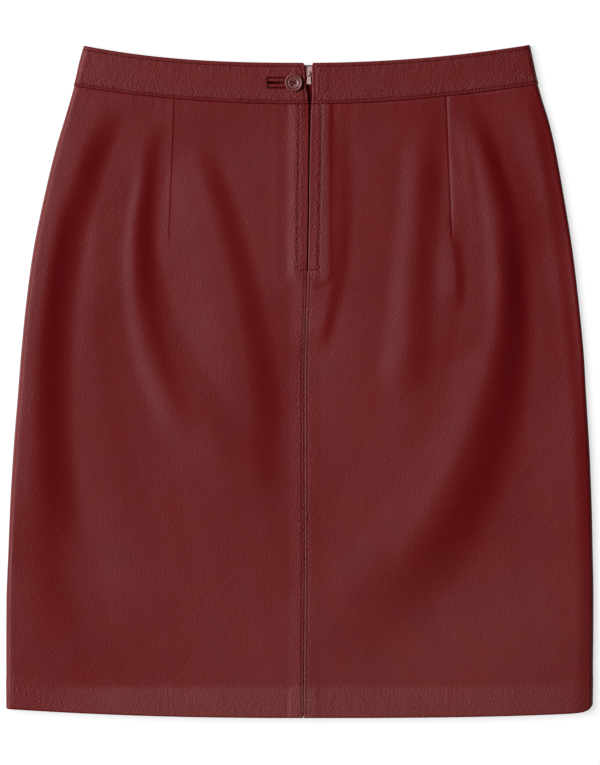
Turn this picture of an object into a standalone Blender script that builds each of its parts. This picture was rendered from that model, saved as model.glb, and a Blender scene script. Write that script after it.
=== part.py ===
"""A leather pencil skirt, laid flat on its front with its back and its zip up.

The frame: +X to the right, +Y from the hem to the waist, +Z up, origin under the middle of the skirt.
Sizes and places are in millimetres, and MM turns them into metres where a mesh is made.
"Drop" is the distance down from the highest point of the waist. Side is -1 on the left, +1 on the right.
Every piece of the back is made from one surface, the outer face of the back's leather, and lies some
distance out from it or in from it. The front has such a surface too, which rests on the floor.
"""

from collections import namedtuple
from math import cos, pi, sin

import bmesh
import bpy
from mathutils import Matrix, Vector

MM = 0.001
LEFT = -1
RIGHT = 1

# ---------------------------------------------------------------- driving sizes
LENGTH = 573.4               # from the highest point of the waist to the lowest point of the hem
TOP_Y = LENGTH / 2
LEATHER = 1.2                # one layer of the hide
HEM_TURN = 26.0              # height of the turned and glued hem
GAP = 0.3                    # air between two pieces that are sewn together
BAND_PROUD = 0.6             # how far the waistband stands out from the panels
BAND_UNDER = 1.8             # how far its inner face lies below the panels' outer face
FRONT_DIP = 8.0              # the front of the waist lies this much lower than the back
FRONT_HEM_LIFT = 1.5         # the front of the hem lies this much higher than the back

SEAM_Z = 3.0                 # height of the side seams over the floor
ROLL = 3.8                   # how far in from the outline a side rolls over
ROLL_LENGTH = ROLL * pi / 2
ROLL_STEPS = 4

DART_LEFT_X = -105.7         # where the lines of the two darts start
DART_RIGHT_X = 121.8
DART_DRIFT = 0.04            # a dart leans out by this much for each millimetre down
DART_REACH = 118.0           # about how far a dart lies from the centre back
DART_END = 174.7             # drop of a dart's point
DART_DEPTH = 0.5
DART_HALF = 1.6              # half the width of its groove
DART_FADE = 25.0             # the groove dies away over this length
ZIP_END = 192.1              # drop of the lower end of the zip's opening

Side = namedtuple("Side", "drop left right")
SIDE_LINES = (               # the outline: where the side seams lie
    Side(0.9, -183.6, 195.5),
    Side(12.8, -187.0, 198.1),
    Side(29.8, -190.9, 201.7),
    Side(46.9, -195.5, 206.4),
    Side(63.9, -200.6, 211.7),
    Side(89.5, -208.3, 217.7),
    Side(132.1, -218.5, 225.4),
    Side(174.7, -227.1, 232.2),
    Side(217.3, -233.0, 237.3),
    Side(259.9, -237.3, 241.5),
    Side(302.5, -240.7, 244.1),
    Side(345.1, -244.1, 246.7),
    Side(387.7, -246.7, 248.4),
    Side(430.3, -248.4, 249.4),
    Side(472.9, -250.1, 250.1),
    Side(573.4, -250.1, 249.2),
)

Centre = namedtuple("Centre", "drop x")
CENTRE_LINE = (              # the middle of the zip, and under it the centre back seam
    Centre(0.0, 8.9),
    Centre(50.0, 8.5),
    Centre(76.0, 8.0),
    Centre(106.0, 7.5),
    Centre(152.0, 7.0),
    Centre(183.0, 6.5),
    Centre(214.0, 5.5),
    Centre(245.0, 4.4),
    Centre(270.0, 3.8),
    Centre(340.0, 3.8),
    Centre(430.0, 4.0),
    Centre(500.0, 3.65),
    Centre(573.4, 2.95),
)

Closing = namedtuple("Closing", "drop left right")
CLOSING = (                  # the two edges of the opening over the zip, from the waist down
    Closing(15.3, 2.8, 11.0),
    Closing(17.9, 4.4, 10.0),
    Closing(25.6, 4.9, 10.1),
    Closing(34.6, 5.1, 10.1),
    Closing(43.5, 7.0, 10.2),
    Closing(49.6, 7.3, 10.0),
    Closing(60.0, 7.1, 9.3),
    Closing(76.0, 7.2, 8.9),
    Closing(106.0, 6.9, 8.2),
    Closing(152.0, 6.5, 7.7),
    Closing(ZIP_END, 5.7, 6.9),
)

Height = namedtuple("Height", "drop side middle")
HEIGHTS = (                  # the back's outer face over the floor, without its folds
    Height(0.0, 6.6, 9.3),
    Height(50.0, 6.6, 9.3),
    Height(130.0, 8.3, 10.1),
    Height(300.0, 8.8, 10.3),
    Height(450.0, 8.6, 10.2),
    Height(573.4, 8.6, 10.4),
)

Line = namedtuple("Line", "drop rise_left power_left rise_right power_right half_left half_right middle")
WAIST_LINE = Line(15.3, 14.5, 2.6, 15.3, 2.0, 190.0, 189.1, 6.4)
BAND_LINE = Line(50.9, 15.2, 2.1, 17.0, 1.8, 197.7, 196.0, 6.4)
HEM_LINE = Line(LENGTH, 7.7, 2.2, 4.6, 3.0, 250.1, 249.2, 0.0)
HEM_CORNER = 5.6             # the right corner of the hem is rounded up by this much
HEM_CORNER_POWER = 60

# A fold rises beside its crest line, which runs through three points. Its reaches to the left and to the
# right grow by spread from its top to its end, and past its end it dies away over fade.
Fold = namedtuple(
    "Fold", "top_drop top_x mid_drop mid_x end_drop end_x rise reach_left reach_right spread fade"
)
FOLDS = (                    # a crest where rise is positive, a hollow where it is negative
    Fold(136.0, -260.0, 392.0, -243.0, 439.0, -210.0, -2.2, 63.0, 78.0, 1.1, 38.0),
    Fold(167.0, -197.0, 259.0, -205.0, 464.0, -191.0, -1.6, 15.0, 25.0, 2.5, 62.0),
    Fold(101.0, -191.0, 184.0, -213.0, 361.0, -224.0, 4.8, 90.0, 27.0, 1.3, 88.0),
    Fold(242.0, -140.0, 370.0, -146.0, 525.0, -134.0, -1.8, 68.0, 90.0, 1.6, 58.0),
    Fold(138.0, -135.0, 168.0, -139.0, 290.0, -121.0, 1.3, 13.0, 16.0, 1.3, 60.0),
    Fold(117.0, -121.0, 179.0, -118.0, 299.0, -60.0, -3.2, 18.0, 90.0, 2.4, 117.0),
    Fold(127.0, -80.0, 168.0, -68.0, 294.0, -45.0, 3.0, 68.0, 23.0, 1.3, 114.0),
    Fold(105.0, 23.0, 207.0, 24.0, 237.0, 19.0, 1.5, 76.0, 24.0, 0.5, 30.0),
    Fold(114.0, 76.0, 278.0, 91.0, 370.0, 110.0, 1.6, 66.0, 57.0, 2.0, 160.0),
    Fold(116.0, 102.0, 159.0, 99.0, 259.0, 90.0, 1.6, 20.0, 21.0, 1.2, 61.0),
    Fold(317.0, 106.0, 468.0, 38.0, 498.0, 24.0, 0.5, 41.0, 27.0, 1.1, 25.0),
    Fold(116.0, 142.0, 218.0, 142.0, 248.0, 137.0, 1.1, 24.0, 10.0, 2.3, 26.0),
    Fold(185.0, 130.5, 195.0, 131.5, 205.0, 132.0, 1.1, 22.0, 9.0, 1.0, 25.0),
    Fold(102.0, 158.0, 191.0, 173.0, 409.0, 117.0, 3.0, 22.0, 16.0, 2.8, 74.0),
    Fold(68.0, 166.0, 135.0, 202.0, 203.0, 224.0, -2.0, 62.0, 39.0, 0.5, 160.0),
    Fold(200.0, 192.0, 425.0, 151.0, 455.0, 136.0, -3.9, 23.0, 43.0, 2.8, 109.0),
    Fold(90.0, 215.0, 300.0, 244.0, 560.0, 250.0, -1.6, 14.0, 12.0, 1.1, 60.0),
)
FADE_IN = 60.0               # above its top a fold dies away over this length

ALLOWANCE_WIDTH = 12.0       # the glued seam allowances beside the centre back seam
ALLOWANCE_RELIEF = 0.2
PLACKET_WIDTH = 20.0         # the zip's tape and the allowances over it
PLACKET_END = 207.0
PLACKET_RELIEF = 0.5
PLACKET_SLOPE = 3.0          # its print falls away over this width

# The zip. Depths are measured down from the back's outer face.
SLIDER_TOP_Y = 268.4
SLIDER_END_Y = 258.9
SLIDER_X = 7.6
SLIDER_HALF_WIDTH = 3.6
SLIDER_WEB = 1.4
SLIDER_PLATE = 0.6
SLIDER_DEPTH = BAND_UNDER + GAP
SLIDER_HEIGHT = 2.3
SLIDER_TAIL = 0.8             # its lower end is narrower by this
TAPE_THICKNESS = 0.5
TAPE_INNER = 2.8
TAPE_OUTER = 11.0
TAPE_END_Y = 76.3
TAPE_HIGH = LEATHER + GAP
TAPE_LOW = 3.0
COIL_HALF_WIDTH = 2.2
COIL_THICKNESS = 1.6
COIL_SHOULDER = 0.5           # the coil's top falls by this much at its sides
COIL_END_Y = 89.9
COIL_HIGH = LEATHER + GAP
COIL_LOW = 2.6
ZIP_DIVE_START_Y = 222.0     # between these two heights the zip dives under the waistband
ZIP_DIVE_END_Y = 250.0

PIVOT_Y = 262.0
PIVOT_DEPTH = 1.35
BAIL_INNER = 1.6
BAIL_OUTER = 2.4
BAIL_WIDTH = 1.2
BAIL_STEPS = 10
PULL_THICKNESS = 0.8
PULL_HOLE_HALF = 1.0
PullRow = namedtuple("PullRow", "reach half_width")
PULL_ROWS = (                # the pull from its bar, on the pivot, to its free end
    PullRow(-0.43, 1.5),
    PullRow(0.43, 1.75),
    PullRow(3.0, 1.6),
    PullRow(4.4, 1.55),
    PullRow(6.2, 1.8),
    PullRow(8.4, 2.1),
    PullRow(9.0, 1.75),
)
PULL_HOLE_ROW = 1            # the bail passes between this row and the next one

# The button, its hole and the underlap that carries it.
BUTTON_X = -5.3
BUTTON_Y = 254.3
BUTTON_LIFT = BAND_PROUD + GAP
HOLE_RADIUS = 0.65
HOLE_REACH_X = 1.7
HOLE_REACH_Y = 1.25
HOLE_TURN = 0.25
WINDOW_LEFT = -27.3
WINDOW_RIGHT = -2.7
WINDOW_HEIGHT = 8.5
CUT_REACH = 5.0              # the cutter reaches this far above and below the leather
SLIT_HALF = 0.8
LIP_PROUD = 0.4
LIP_FALL = 0.5               # its two folded edges lie this far below the band's base surface
LIP_POWER = 4
THREAD_HALF_X = 1.6
THREAD_HALF_Y = 0.5
THREAD_ROUND = 0.35
TAB_LEFT = -18.3
TAB_RIGHT = 53.0
TAB_DEEP = SLIDER_DEPTH + SLIDER_HEIGHT + GAP
TAB_SHALLOW = BAND_UNDER + GAP
TAB_STEP_START = 24.0
TAB_STEP_END = 36.0
TAB_THICKNESS = 1.6
TAB_INSET = 2.0

Finish = namedtuple("Finish", "color roughness metallic")
BURGUNDY = Finish((0.150, 0.020, 0.022), 0.50, 0.0)
DARK_BURGUNDY = Finish((0.060, 0.010, 0.012), 0.80, 0.0)
HORN = Finish((0.200, 0.050, 0.050), 0.35, 0.0)
NICKEL = Finish((0.620, 0.560, 0.550), 0.30, 1.0)


# ---------------------------------------------------------------- reading the tables
def blend(low, high, share):
    return low + (high - low) * share


def smooth(start, end, value):
    """0 up to start, 1 from end on, with a soft turn at both."""
    share = min(max((value - start) / (end - start), 0.0), 1.0)
    return share * share * (3.0 - 2.0 * share)


def read_line(table, column, drop):
    """The column's value at a drop, on straight lines between the rows."""
    if drop <= table[0].drop:
        return getattr(table[0], column)
    for upper, lower in zip(table, table[1:]):
        if drop <= lower.drop:
            share = (drop - upper.drop) / (lower.drop - upper.drop)
            return blend(getattr(upper, column), getattr(lower, column), share)
    return getattr(table[-1], column)


def read_curve(table, column, drop):
    """The column's value at a drop, on a smooth curve through the rows."""
    drops = [row.drop for row in table]
    values = [getattr(row, column) for row in table]
    last = len(table) - 1
    drop = min(max(drop, drops[0]), drops[last])
    index = next(i for i in range(last) if drop <= drops[i + 1])

    def slope(i):
        before, after = max(i - 1, 0), min(i + 1, last)
        return (values[after] - values[before]) / (drops[after] - drops[before])

    span = drops[index + 1] - drops[index]
    t = (drop - drops[index]) / span
    return (
        (2 * t**3 - 3 * t**2 + 1) * values[index]
        + (t**3 - 2 * t**2 + t) * span * slope(index)
        + (3 * t**2 - 2 * t**3) * values[index + 1]
        + (t**3 - t**2) * span * slope(index + 1)
    )


# ---------------------------------------------------------------- the lines of the skirt
def side_x(side, y):
    return read_curve(SIDE_LINES, "left" if side == LEFT else "right", TOP_Y - y)


def centre_x(y):
    return read_curve(CENTRE_LINE, "x", TOP_Y - y)


def closing_x(side, y):
    """The piece's edge at the centre back: the seam, or the opening over the zip."""
    if TOP_Y - y > ZIP_END:
        return centre_x(y) + side * GAP / 2
    return read_line(CLOSING, "left" if side == LEFT else "right", TOP_Y - y)


def line_y(line, x):
    """A line across the skirt, lowest near its middle and rising towards both sides."""
    if x < line.middle:
        rise = line.rise_left * ((line.middle - x) / line.half_left) ** line.power_left
    else:
        rise = line.rise_right * ((x - line.middle) / line.half_right) ** line.power_right
    return TOP_Y - line.drop + rise


def waist_y(x):
    return line_y(WAIST_LINE, x)


def band_end_y(x):
    """The lower edge of the waistband."""
    return line_y(BAND_LINE, x) + GAP / 2


def panel_top_y(x):
    return line_y(BAND_LINE, x) - GAP / 2


def hem_y(x):
    corner = HEM_CORNER * max(x / HEM_LINE.half_right, 0.0) ** HEM_CORNER_POWER
    return line_y(HEM_LINE, x) + corner


def front_dip(x):
    """How far the front's waist lies below the back's: nothing at the sides, most in the middle."""
    share = (x - WAIST_LINE.middle) / WAIST_LINE.half_left
    return FRONT_DIP * max(1.0 - share * share, 0.0)


def front_waist_y(x):
    return waist_y(x) - front_dip(x)


def front_band_end_y(x):
    return band_end_y(x) - front_dip(x)


def front_panel_top_y(x):
    return panel_top_y(x) - front_dip(x)


def front_hem_y(x):
    return hem_y(x) + FRONT_HEM_LIFT


# ---------------------------------------------------------------- the two surfaces
def fold_height(fold, x, drop):
    """The height that one fold adds at a point."""
    shown = smooth(fold.top_drop - FADE_IN, fold.top_drop, drop)
    shown *= 1.0 - smooth(fold.end_drop, fold.end_drop + fold.fade, drop)
    if shown == 0.0:
        return 0.0
    first = (fold.mid_x - fold.top_x) / (fold.mid_drop - fold.top_drop)
    second = (fold.end_x - fold.mid_x) / (fold.end_drop - fold.mid_drop)
    bend = (second - first) / (fold.end_drop - fold.top_drop)
    run = drop - fold.top_drop
    crest_x = fold.top_x + first * run + bend * run * (drop - fold.mid_drop)
    slope = first + bend * (run + drop - fold.mid_drop)
    away = (x - crest_x) / (1.0 + slope * slope) ** 0.5
    reach = fold.reach_left if away < 0.0 else fold.reach_right
    reach *= blend(1.0, fold.spread, min(max(run / (fold.end_drop - fold.top_drop), 0.0), 1.0))
    share = min(abs(away) / reach, 1.0)
    return fold.rise * shown * (1.0 + cos(pi * share)) / 2


def back_height(x, y):
    drop = TOP_Y - y
    left, right = side_x(LEFT, y), side_x(RIGHT, y)
    across = abs((2 * x - left - right) / (right - left))
    side, middle = read_curve(HEIGHTS, "side", drop), read_curve(HEIGHTS, "middle", drop)
    return blend(middle, side, min(across, 1.0) ** 4) + sum(fold_height(fold, x, drop) for fold in FOLDS)


def back_point(side, along, y):
    """A point of the back's outer face, this far along the leather from the side seam."""
    edge = side_x(side, y)
    turn = min(along / ROLL, pi / 2)
    inset = ROLL * (1.0 - cos(turn)) + max(along - ROLL_LENGTH, 0.0)
    x = edge - side * inset
    low = SEAM_Z + GAP / 2
    return Vector((x, y, low + sin(turn) * (back_height(x, y) - low)))


def front_point(side, along, y):
    """A point of the front's outer face, which rolls down from the side seam to the floor."""
    edge = side_x(side, y)
    turn = min(along / ROLL, pi / 2)
    inset = ROLL * (1.0 - cos(turn)) + max(along - ROLL_LENGTH, 0.0)
    low = SEAM_Z - GAP / 2
    return Vector((edge - side * inset, y, low * (1.0 - sin(turn))))


def surface_frame(point_of, side, along, y, outward):
    """A point of a surface and its outward normal, from short steps along and down it."""
    step = 0.02
    start = max(along - step, 0.0)
    across = point_of(side, along + step, y) - point_of(side, start, y)
    down = point_of(side, along, y + step) - point_of(side, along, y - step)
    normal = across.cross(down) * -side * outward
    return point_of(side, along, y), normal.normalized()


def back_frame(side, along, y):
    return surface_frame(back_point, side, along, y, 1)


def front_frame(side, along, y):
    return surface_frame(front_point, side, along, y, -1)


def back_frame_at(x, y):
    """The same for a place given by its x, inside the rolls."""
    side = LEFT if x < centre_x(y) else RIGHT
    along = ROLL_LENGTH + side * (side_x(side, y) - x) - ROLL
    return back_frame(side, along, y)


# ---------------------------------------------------------------- making objects
SHARP_ANGLE = 0.7


def make_material(name, finish):
    material = bpy.data.materials.new(name)
    material.use_nodes = True
    shader = material.node_tree.nodes["Principled BSDF"]
    shader.inputs["Base Color"].default_value = (*finish.color, 1.0)
    shader.inputs["Roughness"].default_value = finish.roughness
    shader.inputs["Metallic"].default_value = finish.metallic
    return material


def make_object(name, mesh, finish):
    bmesh.ops.recalc_face_normals(mesh, faces=mesh.faces[:])
    if mesh.calc_volume(signed=True) < 0.0:
        bmesh.ops.reverse_faces(mesh, faces=mesh.faces[:])
    data = bpy.data.meshes.new(name)
    mesh.to_mesh(data)
    mesh.free()
    data.shade_smooth()
    data.set_sharp_from_angle(angle=SHARP_ANGLE)
    data.materials.append(make_material(name, finish))
    result = bpy.data.objects.new(name, data)
    bpy.context.scene.collection.objects.link(result)
    return result


def make_wall(name, columns, rows, place, outer, inner, finish):
    """A closed wall over a grid of columns and rows.

    place gives a point and its normal, and outer and inner give how far out its two skins lie.
    """
    mesh = bmesh.new()
    last_column, last_row = len(columns) - 1, len(rows) - 1
    bmesh.ops.create_grid(mesh, x_segments=last_column, y_segments=last_row, size=0.5)
    skin = bmesh.ops.extrude_face_region(mesh, geom=mesh.faces[:], use_keep_orig=True)["geom"]
    for vertex in [item for item in skin if isinstance(item, bmesh.types.BMVert)]:
        vertex.co.z = 1.0
    for vertex in mesh.verts:
        column = columns[round((vertex.co.x + 0.5) * last_column)]
        row = rows[round((vertex.co.y + 0.5) * last_row)]
        point, normal = place(column, row)
        out = inner(column, row) if vertex.co.z > 0.5 else outer(column, row)
        vertex.co = (point + normal * out) * MM
    return make_object(name, mesh, finish)


def use_shape(target, shape, operation):
    """Cuts or joins with a hidden shape, which stays a live guide."""
    shape.hide_render = True
    shape.display_type = "WIRE"
    modifier = target.modifiers.new(operation.title(), "BOOLEAN")
    modifier.operation = operation
    modifier.solver = "EXACT"
    modifier.object = shape


def spaced(start, end, count):
    """count stations after start, the last one on end."""
    return [blend(start, end, (index + 1) / count) for index in range(count)]


# ---------------------------------------------------------------- stations over a piece
# A girth station is 0 at the centre back, 1 at the dart, 2 where the side starts to roll over
# and 3 at the side seam.
def dart_reach(side, y):
    """How far a dart's line lies from the centre back."""
    start_x = DART_LEFT_X if side == LEFT else DART_RIGHT_X
    return side * (start_x - centre_x(y)) + DART_DRIFT * min(TOP_Y - y, DART_END)


def panel_along(side, girth, y):
    """How far along the leather from the side seam a girth station of a panel lies."""
    crest = side * (side_x(side, y) - centre_x(y)) - ROLL
    if girth == 0.0:
        reach = side * (closing_x(side, y) - centre_x(y))
    elif girth <= 1.0:
        reach = girth * dart_reach(side, y)
    else:
        reach = blend(dart_reach(side, y), crest, min(girth - 1.0, 1.0))
    return ROLL_LENGTH * (1.0 - max(girth - 2.0, 0.0)) + crest - reach


def band_along(side, girth, y):
    """The same on the waistband, where stations 0 to 2 are spread evenly."""
    crest = side * (side_x(side, y) - centre_x(y)) - ROLL
    opening = side * (closing_x(side, y) - centre_x(y))
    reach = blend(opening, crest, min(girth / 2, 1.0))
    return ROLL_LENGTH * (1.0 - max(girth - 2.0, 0.0)) + crest - reach


def down_column(upper, lower, share, x_at):
    """y at this share of the way from one line to another, on a column whose x depends on y."""
    ends = []
    for line in (upper, lower):
        y = line(0.0)
        for _ in range(5):
            y = line(x_at(y))
        ends.append(y)
    return blend(ends[0], ends[1], share)


def roll_weight(girth):
    """1 on the flat of a piece, falling to 0 at the side seam."""
    return 1.0 - smooth(2.0, 3.0, abs(girth))


# ---------------------------------------------------------------- panels
TURN_DROP = LENGTH - HEM_TURN
TURN_SHARE = (TURN_DROP - BAND_LINE.drop) / (LENGTH - BAND_LINE.drop)
STEP_HALF = 0.6              # rows and columns stand this close to a step in a piece


def panel_rows():
    """Rows of a back panel, as shares of its length at the centre back."""
    top = BAND_LINE.drop
    drops = [top] + spaced(top, DART_END, 8) + [ZIP_END - STEP_HALF, ZIP_END + STEP_HALF, PLACKET_END]
    drops += spaced(PLACKET_END, TURN_DROP - STEP_HALF, 19) + [TURN_DROP] + spaced(TURN_DROP, LENGTH, 2)
    return [(drop - top) / (LENGTH - top) for drop in drops]


def panel_columns():
    """Columns of a back panel, as girth stations."""
    print_end = PLACKET_WIDTH + PLACKET_SLOPE
    reaches = [0.0, 3.0, ALLOWANCE_WIDTH - STEP_HALF, ALLOWANCE_WIDTH + STEP_HALF, PLACKET_WIDTH, print_end]
    reaches += spaced(print_end, DART_REACH - DART_HALF, 11) + [DART_REACH]
    past_dart = 1.0 + DART_HALF / DART_REACH
    girths = [reach / DART_REACH for reach in reaches] + [past_dart]
    return girths + spaced(past_dart, 2.0, 13) + spaced(2.0, 3.0, ROLL_STEPS)


def panel_relief(girth, drop):
    """What lies under the leather shows through it, and the dart's seam is a groove."""
    reach = girth * DART_REACH
    below_zip = smooth(PLACKET_END - 10 * STEP_HALF, PLACKET_END, drop)
    placket = PLACKET_RELIEF * (1.0 - smooth(PLACKET_WIDTH, PLACKET_WIDTH + PLACKET_SLOPE, reach))
    past_allowance = smooth(ALLOWANCE_WIDTH - STEP_HALF, ALLOWANCE_WIDTH + STEP_HALF, reach)
    allowance = ALLOWANCE_RELIEF * (1.0 - past_allowance)
    on_dart = max(1.0 - abs(reach - DART_REACH) / DART_HALF, 0.0)
    groove = DART_DEPTH * on_dart * (1.0 - smooth(DART_END - DART_FADE, DART_END, drop))
    return blend(placket, allowance, below_zip) - groove


def panel_inner(girth, share):
    """A panel is one layer of leather, and its turned hem is a second one."""
    second_layer = LEATHER * roll_weight(girth) if share >= TURN_SHARE else 0.0
    return -LEATHER - second_layer


def make_back_panel(name, side):
    def place(girth, share):
        def x_at(y):
            return back_point(side, panel_along(side, girth, y), y).x

        y = down_column(panel_top_y, hem_y, share, x_at)
        return back_frame(side, panel_along(side, girth, y), y)

    def outer(girth, share):
        drop = blend(BAND_LINE.drop, LENGTH, share)
        return panel_relief(girth, drop)

    make_wall(name, panel_columns(), panel_rows(), place, outer, panel_inner, BURGUNDY)


# On the front a girth station runs from -3 at the left side seam to +3 at the right one.
def front_columns(count):
    left_roll = [-3.0] + spaced(-3.0, -2.0, ROLL_STEPS)
    return left_roll + spaced(-2.0, 2.0, count) + spaced(2.0, 3.0, ROLL_STEPS)


def front_place(upper, lower):
    def along_of(side, girth, y):
        width = side_x(RIGHT, y) - side_x(LEFT, y) - 2 * ROLL
        rolled = ROLL_LENGTH * min(3.0 - abs(girth), 1.0)
        return rolled + width * max(2.0 - abs(girth), 0.0) / 4

    def place(girth, share):
        side = LEFT if girth < 0.0 else RIGHT

        def x_at(y):
            return front_point(side, along_of(side, girth, y), y).x

        y = down_column(upper, lower, share, x_at)
        return front_frame(side, along_of(side, girth, y), y)

    return place


def make_front_panel():
    before_turn = TURN_SHARE - STEP_HALF / (LENGTH - BAND_LINE.drop)
    rows = [0.0] + spaced(0.0, before_turn, 12) + [TURN_SHARE, 1.0]

    def outer(girth, share):
        return 0.0

    place = front_place(front_panel_top_y, front_hem_y)
    make_wall("front_panel", front_columns(10), rows, place, outer, panel_inner, BURGUNDY)


# ---------------------------------------------------------------- waistband
BAND_HEIGHT = BAND_LINE.drop - WAIST_LINE.drop
BAND_EDGE = 1.0              # the folded edges are rounded over this width
BAND_EDGE_DROP = 0.7
FRONT_EDGE_DROP = 0.35


def band_rows(count):
    downs = [0.0, BAND_EDGE] + spaced(BAND_EDGE, BAND_HEIGHT - BAND_EDGE, count) + [BAND_HEIGHT]
    return [down / BAND_HEIGHT for down in downs]


def edge_fall(share, depth):
    """The folded edges at the top and the bottom of the waistband fall away a little."""
    down = share * BAND_HEIGHT
    return depth * (1.0 - smooth(0.0, BAND_EDGE, min(down, BAND_HEIGHT - down)))


def make_back_band(name, side):
    def place(girth, share):
        def x_at(y):
            return back_point(side, band_along(side, girth, y), y).x

        y = down_column(waist_y, band_end_y, share, x_at)
        return back_frame(side, band_along(side, girth, y), y)

    def outer(girth, share):
        end_fall = BAND_EDGE_DROP if girth == 0.0 else 0.0
        return BAND_PROUD - max(edge_fall(share, BAND_EDGE_DROP), end_fall)

    def inner(girth, share):
        return -blend(LEATHER, BAND_UNDER, roll_weight(girth))

    past_edge = BAND_EDGE / DART_REACH
    columns = [0.0, past_edge] + spaced(past_edge, 2.0, 14) + spaced(2.0, 3.0, ROLL_STEPS)
    return make_wall(name, columns, band_rows(5), place, outer, inner, BURGUNDY)


def make_front_band():
    def outer(girth, share):
        proud = BAND_PROUD * (1.0 - roll_weight(girth))
        return proud - edge_fall(share, FRONT_EDGE_DROP)

    def inner(girth, share):
        return -blend(LEATHER, BAND_PROUD + BAND_UNDER, roll_weight(girth))

    place = front_place(front_waist_y, front_band_end_y)
    make_wall("waistband_front", front_columns(12), band_rows(2), place, outer, inner, BURGUNDY)


def make_strip(name, xs, ys, top, thickness, finish):
    """A strip under or over the back: top gives its depth below the back's outer face."""
    def outer(x, y):
        return -top(x, y)

    def inner(x, y):
        return -top(x, y) - thickness

    return make_wall(name, xs, ys, back_frame_at, outer, inner, finish)


def make_button_tab():
    """The underlap: sewn under the right end, it dips under the zip and lies under the left end."""
    xs = [TAB_LEFT] + spaced(TAB_LEFT, TAB_STEP_START, 4)
    xs += spaced(TAB_STEP_START, TAB_STEP_END, 4) + [TAB_RIGHT]
    start_y, end_y = waist_y(0.0) - TAB_INSET, band_end_y(0.0) + TAB_INSET

    def top(x, y):
        return blend(TAB_DEEP, TAB_SHALLOW, smooth(TAB_STEP_START, TAB_STEP_END, x))

    make_strip("button_tab", xs, [start_y] + spaced(start_y, end_y, 3), top, TAB_THICKNESS, BURGUNDY)


# ---------------------------------------------------------------- buttonhole and button
def box_mesh(low, high):
    mesh = bmesh.new()
    centre = Matrix.Translation((Vector(low) + Vector(high)) / 2)
    size = Matrix.Diagonal((*(Vector(high) - Vector(low)), 1.0))
    bmesh.ops.create_cube(mesh, size=1.0, matrix=centre @ size)
    bmesh.ops.scale(mesh, vec=(MM, MM, MM), verts=mesh.verts[:])
    return mesh


def cut_buttonhole(band):
    half = WINDOW_HEIGHT / 2
    middle = back_height(BUTTON_X, BUTTON_Y)
    low = (WINDOW_LEFT, BUTTON_Y - half, middle - CUT_REACH)
    high = (WINDOW_RIGHT, BUTTON_Y + half, middle + CUT_REACH)
    use_shape(band, make_object("window_cutter", box_mesh(low, high), BURGUNDY), "DIFFERENCE")


def make_lip(name, direction):
    """One folded lip of the buttonhole, rounded over towards the slit."""
    outer_y = BUTTON_Y + direction * (WINDOW_HEIGHT / 2 - GAP)
    slit_y = BUTTON_Y + direction * SLIT_HALF
    xs = [WINDOW_LEFT + GAP] + spaced(WINDOW_LEFT + GAP, WINDOW_RIGHT - GAP, 5)
    ys = [outer_y] + spaced(outer_y, slit_y, 4)

    def top(x, y):
        share = (y - outer_y) / (slit_y - outer_y)
        crown = 1.0 - (2.0 * share - 1.0) ** LIP_POWER
        return LIP_FALL - (LIP_FALL + LIP_PROUD) * crown

    def bottom(x, y):
        return -BAND_UNDER

    make_wall(name, xs, ys, back_frame_at, lambda x, y: -top(x, y), bottom, BURGUNDY)


ButtonRing = namedtuple("ButtonRing", "radius height")
BUTTON_RINGS = (             # from the middle of the back, round the rim, to the middle of the face
    ButtonRing(0.0, 0.0),
    ButtonRing(6.4, 0.0),
    ButtonRing(7.35, 0.9),
    ButtonRing(7.55, 1.8),
    ButtonRing(7.2, 2.8),
    ButtonRing(6.5, 2.9),
    ButtonRing(5.8, 2.1),
    ButtonRing(5.2, 1.9),
    ButtonRing(4.8, 2.4),
    ButtonRing(3.9, 2.3),
    ButtonRing(2.4, 1.7),
    ButtonRing(0.0, 1.6),
)
BUTTON_SIDES = 28
BUTTON_THICKNESS = 2.9


def make_button():
    base_z = back_height(BUTTON_X, BUTTON_Y) + BUTTON_LIFT
    centre = Vector((BUTTON_X, BUTTON_Y, base_z))
    mesh = bmesh.new()
    ring = [mesh.verts.new((centre + Vector((row.radius, 0.0, row.height))) * MM) for row in BUTTON_RINGS]
    profile = [mesh.edges.new(pair) for pair in zip(ring, ring[1:])]
    bmesh.ops.spin(
        mesh, geom=ring + profile, cent=centre * MM, axis=(0, 0, 1),
        angle=2 * pi, steps=BUTTON_SIDES, use_merge=True,
    )
    bmesh.ops.remove_doubles(mesh, verts=mesh.verts[:], dist=0.00001)
    button = make_object("button", mesh, HORN)

    drill = bmesh.new()
    turn = Matrix.Rotation(HOLE_TURN, 4, "Z")
    for x_way in (-1, 1):
        for y_way in (-1, 1):
            spot = turn @ Vector((x_way * HOLE_REACH_X, y_way * HOLE_REACH_Y, BUTTON_THICKNESS / 2))
            bmesh.ops.create_cone(
                drill, cap_ends=True, segments=10, radius1=HOLE_RADIUS * MM, radius2=HOLE_RADIUS * MM,
                depth=2 * BUTTON_THICKNESS * MM, matrix=Matrix.Translation((centre + spot) * MM),
            )
    use_shape(button, make_object("button_drill", drill, HORN), "DIFFERENCE")


def make_button_thread():
    """The shank of thread, from the underlap up through the slit to the button's back."""
    outer_face = back_height(BUTTON_X, BUTTON_Y)
    low = (BUTTON_X - THREAD_HALF_X, BUTTON_Y - THREAD_HALF_Y, outer_face - TAB_DEEP + GAP)
    high = (BUTTON_X + THREAD_HALF_X, BUTTON_Y + THREAD_HALF_Y, outer_face + BAND_PROUD)
    mesh = box_mesh(low, high)
    upright = [edge for edge in mesh.edges if abs(edge.verts[0].co.z - edge.verts[1].co.z) > MM]
    bmesh.ops.bevel(
        mesh, geom=upright, offset=THREAD_ROUND * MM, offset_type="OFFSET", segments=2, profile=0.5,
        affect="EDGES", material=-1,
    )
    make_object("button_thread", mesh, DARK_BURGUNDY)


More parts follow.
